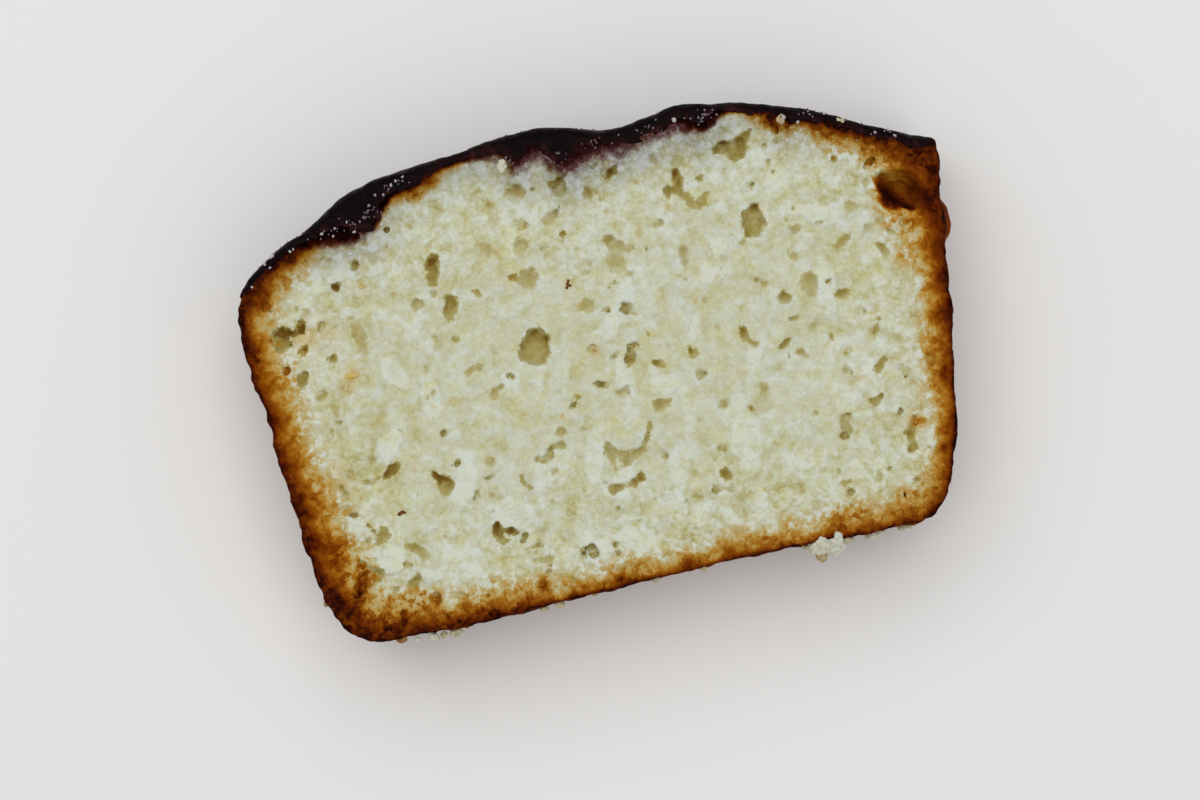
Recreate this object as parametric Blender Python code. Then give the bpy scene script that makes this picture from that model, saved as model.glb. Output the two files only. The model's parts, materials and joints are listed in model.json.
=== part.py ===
"""A slice of lemon loaf cake with a dark fruit glaze baked onto its domed top.

The slice lies on one cut face. +X runs along the base of the loaf, +Y up the loaf to the
glazed dome, and +Z through the thickness of the slice, so the cut face that shows is on top.
The origin is the middle of the slice's footprint, at the level it rests on.
"""

import math
import random
from collections import namedtuple

import bmesh
import bpy
from mathutils import Matrix, Vector, noise

# Driving dimensions, in millimetres
MM = 0.001
THICKNESS = 20.0
GAP = 0.3

# Outline of the loaf, anticlockwise seen from above, measured from the middle of its base.
# The tin leaves a nearly flat base and leaning walls; the dome is the risen, glazed top.
BASE = ((-40.5, -0.9), (-33.0, -1.1), (-24.0, -1.3), (-10.0, -0.8), (5.0, -0.3), (20.0, -0.1), (34.0, -0.4))
RIGHT_WALL = (
    (43.5, -0.5),
    (47.3, 1.0),
    (49.8, 4.0),
    (51.8, 9.4),
    (53.8, 18.5),
    (55.6, 29.0),
    (56.8, 40.0),
    (57.9, 48.0),
)
DOME = (
    (58.8, 54.2),
    (59.1, 56.7),
    (57.4, 57.7),
    (50.0, 60.7),
    (42.6, 64.6),
    (35.0, 67.3),
    (27.5, 69.3),
    (19.7, 70.3),
    (10.5, 68.9),
    (4.0, 70.8),
    (-2.5, 71.6),
    (-13.0, 70.7),
    (-21.1, 69.6),
    (-29.0, 68.7),
    (-34.5, 66.5),
    (-39.5, 63.4),
    (-45.0, 61.2),
    (-49.4, 57.8),
    (-51.5, 53.6),
)
LEFT_WALL = (
    (-52.0, 48.5),
    (-51.6, 42.0),
    (-50.7, 35.0),
    (-50.2, 26.0),
    (-49.3, 17.0),
    (-48.3, 9.5),
    (-46.9, 4.2),
    (-44.4, 0.7),
)
STATION_SPACING = 2.0

# Glaze: a thin film along the dome, deeper where it pooled, and its rounded edges
FILM_DEPTH = 1.0
FILM_RAMP = 5.0
THINNEST_GLAZE = 0.4
GLAZE_LIFT = 0.5
GLAZE_TOP_SINK = 0.35
GLAZE_LUMPS = 0.14
Puddle = namedtuple("Puddle", "x half_width depth")
PUDDLES = (
    Puddle(-31.0, 4.6, 4.8),
    Puddle(-22.0, 4.0, 1.3),
    Puddle(-5.0, 2.6, 2.4),
    Puddle(2.4, 3.2, 4.3),
    Puddle(15.0, 6.5, 1.4),
    Puddle(24.4, 1.7, 1.9),
    Puddle(37.4, 2.2, 0.8),
    Puddle(57.0, 2.5, 0.8),
)
# Share of the thickness from its lower edge, and share of its depth that the glaze reaches there
GLAZE_SECTION = ((0.0, 0.5), (0.05, 0.82), (0.14, 1.0), (0.38, 1.0), (0.62, 1.0), (0.86, 1.0), (0.95, 0.82), (1.0, 0.5))

# Crust: uneven walls, and a lip that baked over the tin's rim below the cut face
CRUST_CRAGS = 0.32
CRAG_SIZE = 5.5
LIP_HEIGHT = 44.4
LIP_HALF_HEIGHT = 3.1
LIP_REACH = 1.9
LIP_LEVEL = THICKNESS - 6.0
LIP_HALF_LEVEL = 5.0
WALL_LEVELS = (0.0, 4.0, 8.0, 12.0, 16.0, THICKNESS, THICKNESS + 3.0)

# Cut face: soft unevenness, and one lump of crumb that the knife loosened
CUT_CELL = 3.4
CUT_MARGIN = 8.0
CUT_CRAGS = 0.3
CUT_CRAG_SIZE = 8.0
LOOSE_LUMP = (2.7, 23.1)
LOOSE_LUMP_RADIUS = 3.4
LOOSE_LUMP_RISE = 0.7

# Baking bubbles cut open: place, long and short axis, turn in degrees, and depth
Pore = namedtuple("Pore", "x y long short turn depth")
SHOWN_PORES = (
    Pore(52.0, 50.4, 8.2, 6.2, -40, 6.0),
    Pore(54.0, 53.0, 4.6, 3.4, -35, 3.0),
    Pore(28.6, 62.3, 5.4, 3.2, 0, 2.2),
    Pore(19.0, 58.6, 5.6, 1.8, 80, 2.0),
    Pore(20.9, 55.4, 5.8, 1.9, -32, 2.0),
    Pore(23.0, 56.6, 2.0, 1.4, 60, 1.2),
    Pore(28.7, 50.5, 4.7, 3.3, 75, 2.4),
    Pore(7.5, 50.4, 5.6, 3.6, 70, 1.1),
    Pore(-8.1, 38.8, 5.0, 3.9, 60, 2.4),
    Pore(-6.5, 62.9, 2.8, 2.6, 0, 1.0),
    Pore(-21.2, 53.8, 3.2, 1.9, 70, 1.7),
    Pore(-19.5, 47.3, 3.5, 1.9, 75, 1.7),
    Pore(-6.9, 49.3, 2.5, 2.2, 0, 1.3),
    Pore(-20.3, 62.3, 2.0, 1.6, 40, 1.1),
    Pore(-29.6, 50.6, 2.7, 1.4, 0, 1.2),
    Pore(-45.2, 47.6, 4.0, 3.0, 30, 3.0),
    Pore(-42.0, 50.0, 4.6, 1.6, 38, 1.7),
    Pore(-38.7, 44.2, 2.0, 1.4, 70, 1.2),
    Pore(-44.1, 41.4, 3.2, 1.6, 75, 1.6),
    Pore(0.9, 43.1, 1.9, 1.8, 0, 1.1),
    Pore(35.0, 38.9, 2.8, 1.9, 70, 1.0),
    Pore(15.5, 32.6, 2.0, 1.8, 0, 1.3),
    Pore(10.3, 32.0, 2.3, 1.4, 0, 1.2),
    Pore(24.2, 33.0, 2.7, 1.6, -60, 1.4),
    Pore(9.1, 26.1, 2.9, 1.9, 0, 1.3),
    Pore(24.2, 22.6, 2.3, 2.1, 0, 1.4),
    Pore(-18.5, 36.8, 2.7, 1.4, 10, 1.2),
    Pore(-0.6, 19.6, 3.6, 1.5, -50, 1.3),
    Pore(2.6, 18.6, 4.2, 1.5, 5, 1.3),
    Pore(1.4, 14.6, 6.0, 1.5, 14, 1.3),
    Pore(25.4, 16.5, 2.2, 1.6, 20, 1.2),
    Pore(-27.0, 20.9, 3.6, 2.8, 20, 1.8),
    Pore(-33.6, 24.7, 4.4, 1.6, 25, 1.4),
    Pore(-19.1, 11.6, 3.2, 2.5, 30, 2.0),
    Pore(-36.9, 15.1, 2.3, 1.9, 0, 1.3),
    Pore(-40.9, 9.7, 4.8, 4.2, 30, 2.2),
    Pore(51.2, 34.5, 1.9, 1.8, 0, 1.3),
    Pore(45.5, 12.1, 2.7, 1.6, 80, 1.8),
    Pore(47.1, 42.5, 2.2, 1.9, 60, 1.3),
    Pore(44.1, 50.3, 3.2, 2.3, 20, 1.1),
)
SMALL_PORES = 12
SMALL_PORE_SIZES = (1.5, 2.4)
UNDERSIDE_PORES = 26
UNDERSIDE_PORE_SIZES = (1.7, 4.8)
PORE_CLEARANCE = 2.2
CRUST_CLEARANCE = 4.0
REST_SPOT = (10.0, 32.0)
REST_SPOT_CLEARANCE = 5.0
PORE_RAGGEDNESS = 0.24
PORE_LIFT = 0.35
FINE_PORE_LENGTH = 5.0
SEED = 12

# Material: base colour, roughness and coat
CRUMB_FINISH = ((0.62, 0.60, 0.44, 1.0), 0.9, 0.0)
GLAZE_FINISH = ((0.02, 0.006, 0.010, 1.0), 0.25, 0.5)

Station = namedtuple("Station", "x y out_x out_y inset")


def clear_scene():
    for old in list(bpy.data.objects):
        bpy.data.objects.remove(old, do_unlink=True)


def make_collection(name):
    collection = bpy.data.collections.new(name)
    bpy.context.scene.collection.children.link(collection)
    return collection


def make_material(name, finish):
    colour, roughness, coat = finish
    material = bpy.data.materials.new(name)
    material.use_nodes = True
    material.diffuse_color = colour
    shader = material.node_tree.nodes["Principled BSDF"]
    shader.inputs["Base Color"].default_value = colour
    shader.inputs["Roughness"].default_value = roughness
    shader.inputs["Metallic"].default_value = 0.0
    shader.inputs["Coat Weight"].default_value = coat
    return material


def make_object(name, bm, collection, material=None):
    """Turns a bmesh in millimetres into an object in metres."""
    bmesh.ops.recalc_face_normals(bm, faces=bm.faces)
    bmesh.ops.scale(bm, vec=(MM, MM, MM), verts=bm.verts)
    mesh = bpy.data.meshes.new(name)
    bm.to_mesh(mesh)
    bm.free()
    if material:
        mesh.materials.append(material)
        mesh.shade_smooth()
        mesh.set_sharp_from_angle(angle=math.radians(40))
    obj = bpy.data.objects.new(name, mesh)
    collection.objects.link(obj)
    return obj


def hide_helper(obj):
    obj.hide_render = True
    obj.display_type = "WIRE"


def smooth_curve(points, steps=24):
    """A closed curve through the points, tangent at each to the line between its neighbours."""
    curve = []
    count = len(points)
    for i in range(count):
        before, start, end, after = (Vector(points[(i + k) % count]) for k in (-1, 0, 1, 2))
        for step in range(steps):
            t = step / steps
            straight = 2 * start + (end - before) * t
            bend = (2 * before - 5 * start + 4 * end - after) * t**2
            turn = (3 * start - before - 3 * end + after) * t**3
            curve.append((straight + bend + turn) / 2)
    return curve


def evenly_spaced(curve, spacing):
    """Points along the closed curve, about the spacing apart."""
    lengths = [0.0]
    for a, b in zip(curve, curve[1:] + curve[:1]):
        lengths.append(lengths[-1] + (b - a).length)
    count = round(lengths[-1] / spacing)
    places = []
    k = 0
    for i in range(count):
        along = lengths[-1] * i / count
        while lengths[k + 1] < along:
            k += 1
        share = (along - lengths[k]) / (lengths[k + 1] - lengths[k])
        places.append(curve[k].lerp(curve[(k + 1) % len(curve)], share))
    return places


def glaze_depth(x):
    """Depth of the glaze at a place along the loaf's width."""
    pooled = sum(p.depth * math.exp(-(((x - p.x) / p.half_width) ** 2)) for p in PUDDLES)
    return FILM_DEPTH + pooled


def find_stations():
    """The outline as evenly spaced places, each with its outward direction and the glaze's inset."""
    places = evenly_spaced(smooth_curve(BASE + RIGHT_WALL + DOME + LEFT_WALL), STATION_SPACING)
    right_end = Vector(DOME[0])
    left_end = Vector(DOME[-1])
    stations = []
    for i, place in enumerate(places):
        along = places[(i + 1) % len(places)] - places[i - 1]
        out = Vector((along.y, -along.x)).normalized()
        above_ends = place.y > left_end.y + (right_end.y - left_end.y) * (place.x - left_end.x) / (
            right_end.x - left_end.x
        )
        inset = 0.0
        if above_ends:
            from_end = min((place - right_end).length, (place - left_end).length)
            inset = (glaze_depth(place.x) + GAP) * min(1.0, from_end / FILM_RAMP)
        stations.append(Station(place.x, place.y, out.x, out.y, inset))
    return stations


def crust_lip(station, z):
    """How far the baked lip on the right wall stands out."""
    if station.x < 0:
        return 0.0
    up = (station.y - LIP_HEIGHT) / LIP_HALF_HEIGHT
    through = (z - LIP_LEVEL) / LIP_HALF_LEVEL
    return LIP_REACH * math.exp(-(up**4) - through**2)


def crust_wall(station, z):
    """The crust's surface at a station and a level."""
    crag = noise.noise(Vector((station.x, station.y, z)) / CRAG_SIZE) * CRUST_CRAGS
    out = crag + crust_lip(station, z) - station.inset
    return Vector((station.x + station.out_x * out, station.y + station.out_y * out, z))


def loft(rings, closed_ends=True):
    """A skin over rings with equal numbers of points, closed by a face at each end."""
    bm = bmesh.new()
    rows = [[bm.verts.new(point) for point in ring] for ring in rings]
    for low, high in zip(rows, rows[1:]):
        for i in range(len(low)):
            bm.faces.new((low[i - 1], low[i], high[i], high[i - 1]))
    if closed_ends:
        bm.faces.new(rows[0])
        bm.faces.new(rows[-1])
    return bm


def make_loaf_section(stations, collection, material):
    """The crumb and crust out to the crust's walls, taller than the cut face."""
    rings = [[crust_wall(station, z) for station in stations] for z in WALL_LEVELS]
    return make_object("cake", loft(rings), collection, material)


def cut_level(x, y):
    """Height of the cut face, with its soft unevenness and the loosened lump."""
    soft = noise.noise(Vector((x, y, 0.0)) / CUT_CRAG_SIZE) * CUT_CRAGS
    away = math.hypot(x - LOOSE_LUMP[0], y - LOOSE_LUMP[1]) / LOOSE_LUMP_RADIUS
    lump = LOOSE_LUMP_RISE * math.exp(-(away**4))
    return THICKNESS + soft + lump


def make_cut_block(stations, collection):
    """A block whose uneven top is the cut face; the slice is what the loaf shares with it."""
    xs = [station.x for station in stations]
    ys = [station.y for station in stations]
    half_x = (max(xs) - min(xs)) / 2 + CUT_MARGIN
    half_y = (max(ys) - min(ys)) / 2 + CUT_MARGIN
    middle = Vector(((max(xs) + min(xs)) / 2, (max(ys) + min(ys)) / 2, 0.0))
    bm = bmesh.new()
    across = round(2 * half_x / CUT_CELL)
    upward = round(2 * half_y / CUT_CELL)
    bmesh.ops.create_grid(bm, x_segments=across, y_segments=upward, size=1.0)
    bmesh.ops.scale(bm, vec=(half_x, half_y, 1.0), verts=bm.verts)
    bmesh.ops.translate(bm, vec=middle, verts=bm.verts)
    under = bmesh.ops.extrude_face_region(bm, geom=bm.faces[:])["geom"]
    for vert in (item for item in under if isinstance(item, bmesh.types.BMVert)):
        vert.co.z = -CUT_MARGIN
    for vert in bm.verts:
        if vert.co.z > -CUT_MARGIN:
            vert.co.z = cut_level(vert.co.x, vert.co.y)
    block = make_object("cut_block", bm, collection)
    hide_helper(block)
    return block


def make_pore_cutter(name, pore, level, collection):
    """A squashed ragged ball whose middle lies just outside the cut face at the level."""
    bm = bmesh.new()
    fine = pore.long > FINE_PORE_LENGTH
    bmesh.ops.create_icosphere(bm, subdivisions=3 if fine else 2, radius=1.0)
    here = Vector((pore.x, pore.y, level))
    for vert in bm.verts:
        vert.co *= 1.0 + PORE_RAGGEDNESS * noise.noise(vert.co * 1.6 + here)
    outward = 1.0 if level > 0 else -1.0
    bmesh.ops.scale(bm, vec=(pore.long / 2, pore.short / 2, pore.depth), verts=bm.verts)
    bmesh.ops.rotate(bm, matrix=Matrix.Rotation(math.radians(pore.turn), 3, "Z"), verts=bm.verts)
    lift = Vector((0.0, 0.0, outward * PORE_LIFT))
    bmesh.ops.translate(bm, vec=here + lift, verts=bm.verts)
    hide_helper(make_object(name, bm, collection))


def inside_crumb(x, y, stations):
    """Whether a place is in the crumb, clear of the crust and the glaze."""
    nearest = min(stations, key=lambda s: math.hypot(s.x - x, s.y - y))
    inward = (nearest.x - x) * nearest.out_x + (nearest.y - y) * nearest.out_y
    return inward > CRUST_CLEARANCE + nearest.inset


def scatter_pores(count, sizes, taken, stations, draw):
    """Bubbles of mixed size at random places, clear of those already there."""
    xs = [station.x for station in stations]
    ys = [station.y for station in stations]
    found = []
    while len(found) < count:
        x = draw.uniform(min(xs), max(xs))
        y = draw.uniform(min(ys), max(ys))
        long = sizes[0] + (sizes[1] - sizes[0]) * draw.random() ** 2
        pore = Pore(x, y, long, long * draw.uniform(0.6, 0.95), draw.uniform(0, 180), long * 0.45)
        clear = all(
            math.hypot(x - other.x, y - other.y) > (long + other.long) / 2 + PORE_CLEARANCE
            for other in list(taken) + found
        )
        if clear and inside_crumb(x, y, stations):
            found.append(pore)
    return found


def make_pores(stations, collection):
    """The bubbles on the cut face that shows and on the one that the slice lies on."""
    draw = random.Random(SEED)
    small = scatter_pores(SMALL_PORES, SMALL_PORE_SIZES, SHOWN_PORES, stations, draw)
    for i, pore in enumerate(SHOWN_PORES + tuple(small)):
        make_pore_cutter(f"pore_{i:02d}", pore, cut_level(pore.x, pore.y), collection)
    rest = Pore(*REST_SPOT, REST_SPOT_CLEARANCE, REST_SPOT_CLEARANCE, 0, 0)
    under = scatter_pores(UNDERSIDE_PORES, UNDERSIDE_PORE_SIZES, [rest], stations, draw)
    for i, pore in enumerate(under):
        make_pore_cutter(f"under_pore_{i:02d}", pore, 0.0, collection)


def add_boolean(obj, name, operation, target):
    modifier = obj.modifiers.new(name, "BOOLEAN")
    modifier.operation = operation
    modifier.solver = "EXACT"
    if isinstance(target, bpy.types.Collection):
        modifier.operand_type = "COLLECTION"
        modifier.collection = target
    else:
        modifier.object = target


def glaze_ring(station):
    """The glaze's closed section at a station: up its inner face and down its outer one."""
    low = GLAZE_LIFT
    high = THICKNESS - GLAZE_TOP_SINK
    depth = station.inset - GAP
    inner = []
    outer = []
    for share, reach in GLAZE_SECTION:
        z = low + (high - low) * share
        wall = crust_wall(station, z)
        lump = 1.0 + GLAZE_LUMPS * noise.noise(Vector((station.x, station.y, z)) / 4.0)
        out = Vector((station.out_x, station.out_y, 0.0))
        inner.append(wall + out * GAP)
        outer.append(wall + out * (GAP + depth * reach * lump))
    return inner + outer[::-1]


def make_glaze(stations, collection, material):
    """The glaze along the dome, from where its film starts to where it ends."""
    glazed = [station for station in stations if station.inset > GAP + THINNEST_GLAZE]
    return make_object("glaze", loft([glaze_ring(s) for s in glazed]), collection, material)


def centre_on_footprint(nodes, helpers):
    """Moves everything so that the origin is the middle of the footprint."""
    bpy.context.view_layer.update()
    graph = bpy.context.evaluated_depsgraph_get()
    points = []
    for node in nodes:
        evaluated = node.evaluated_get(graph)
        points += [vert.co.copy() for vert in evaluated.data.vertices]
    xs = [point.x for point in points]
    ys = [point.y for point in points]
    shift = Vector((-(max(xs) + min(xs)) / 2, -(max(ys) + min(ys)) / 2, -min(p.z for p in points)))
    for obj in nodes + helpers:
        obj.data.transform(Matrix.Translation(shift))


def main():
    clear_scene()
    slice_parts = make_collection("lemon_loaf_slice")
    cutters = make_collection("cutters")
    pores = make_collection("pores")
    stations = find_stations()
    cake = make_loaf_section(stations, slice_parts, make_material("crumb", CRUMB_FINISH))
    block = make_cut_block(stations, cutters)
    make_pores(stations, pores)
    add_boolean(cake, "cut_face", "INTERSECT", block)
    add_boolean(cake, "bubbles", "DIFFERENCE", pores)
    glaze = make_glaze(stations, slice_parts, make_material("glaze", GLAZE_FINISH))
    centre_on_footprint([cake, glaze], [block] + list(pores.objects))


main()
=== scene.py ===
"""The look of a slice of lemon loaf cake: crumb full of baking bubbles, browned crust, and a
dark fruit glaze with sugar grains and crumbs, on a pale studio floor."""

import json
import math
from collections import namedtuple

import bmesh
import bpy
import numpy as np
from mathutils import Matrix, Vector, noise
from mathutils.bvhtree import BVHTree

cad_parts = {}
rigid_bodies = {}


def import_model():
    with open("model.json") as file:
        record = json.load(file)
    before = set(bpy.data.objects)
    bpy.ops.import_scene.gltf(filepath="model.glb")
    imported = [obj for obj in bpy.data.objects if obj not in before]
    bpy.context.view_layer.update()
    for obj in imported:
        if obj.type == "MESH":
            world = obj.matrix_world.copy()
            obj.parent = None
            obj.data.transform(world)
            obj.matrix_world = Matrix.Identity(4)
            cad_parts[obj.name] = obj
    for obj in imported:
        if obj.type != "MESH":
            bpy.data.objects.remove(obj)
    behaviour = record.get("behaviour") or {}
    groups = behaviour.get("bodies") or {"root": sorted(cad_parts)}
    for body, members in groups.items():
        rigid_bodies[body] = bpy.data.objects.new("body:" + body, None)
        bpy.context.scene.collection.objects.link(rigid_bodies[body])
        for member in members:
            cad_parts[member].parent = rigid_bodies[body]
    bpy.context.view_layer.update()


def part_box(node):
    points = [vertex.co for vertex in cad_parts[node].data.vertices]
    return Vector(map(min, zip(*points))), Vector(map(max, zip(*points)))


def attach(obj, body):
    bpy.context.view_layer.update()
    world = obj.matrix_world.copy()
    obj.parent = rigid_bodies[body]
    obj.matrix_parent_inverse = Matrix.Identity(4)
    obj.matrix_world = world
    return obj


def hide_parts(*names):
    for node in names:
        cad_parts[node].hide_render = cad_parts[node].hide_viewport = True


for startup in list(bpy.data.objects):
    bpy.data.objects.remove(startup, do_unlink=True)

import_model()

# Driving dimensions of the slice, in millimetres, measured from the middle of the loaf's base
MM = 0.001
THICKNESS = 20.0
BASE = (
    (-40.5, -0.9), (-33.0, -1.1), (-24.0, -1.3), (-10.0, -0.8), (5.0, -0.3), (20.0, -0.1), (34.0, -0.4),
)
RIGHT_WALL = (
    (43.5, -0.5), (47.3, 1.0), (49.8, 4.0), (51.8, 9.4), (53.8, 18.5), (55.6, 29.0), (56.8, 40.0),
    (57.9, 48.0),
)
DOME = (
    (58.8, 54.2), (59.1, 56.7), (57.4, 57.7), (50.0, 60.7), (42.6, 64.6), (35.0, 67.3), (27.5, 69.3),
    (19.7, 70.3), (10.5, 68.9), (4.0, 70.8), (-2.5, 71.6), (-13.0, 70.7), (-21.1, 69.6), (-29.0, 68.7),
    (-34.5, 66.5), (-39.5, 63.4), (-45.0, 61.2), (-49.4, 57.8), (-51.5, 53.6),
)
LEFT_WALL = (
    (-52.0, 48.5), (-51.6, 42.0), (-50.7, 35.0), (-50.2, 26.0), (-49.3, 17.0), (-48.3, 9.5), (-46.9, 4.2),
    (-44.4, 0.7),
)
STATION_SPACING = 0.8

# Glaze
GAP = 0.3
FILM_DEPTH = 1.0
FILM_RAMP = 5.0
GLAZE_LIFT = 0.5
Puddle = namedtuple("Puddle", "x half_width depth")
PUDDLES = [Puddle(*row) for row in (
    (-31.0, 4.6, 4.8), (-22.0, 4.0, 1.3), (-5.0, 2.6, 2.4), (2.4, 3.2, 4.3), (15.0, 6.5, 1.4),
    (24.4, 1.7, 1.9), (37.4, 2.2, 0.8), (57.0, 2.5, 0.8),
)]

# Crust walls
CRUST_CRAGS = 0.32
CRAG_SIZE = 5.5
LIP_HEIGHT = 44.4
LIP_HALF_HEIGHT = 3.1
LIP_REACH = 1.9
LIP_LEVEL = THICKNESS - 6.0
LIP_HALF_LEVEL = 5.0
WALL_LEVELS = (0.0, 4.0, 8.0, 12.0, 16.0, THICKNESS, THICKNESS + 3.0)

# Cut face
CUT_CRAGS = 0.3
CUT_CRAG_SIZE = 8.0
LOOSE_LUMP = (2.7, 23.1)
LOOSE_LUMP_RADIUS = 3.4
LOOSE_LUMP_RISE = 0.7

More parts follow.
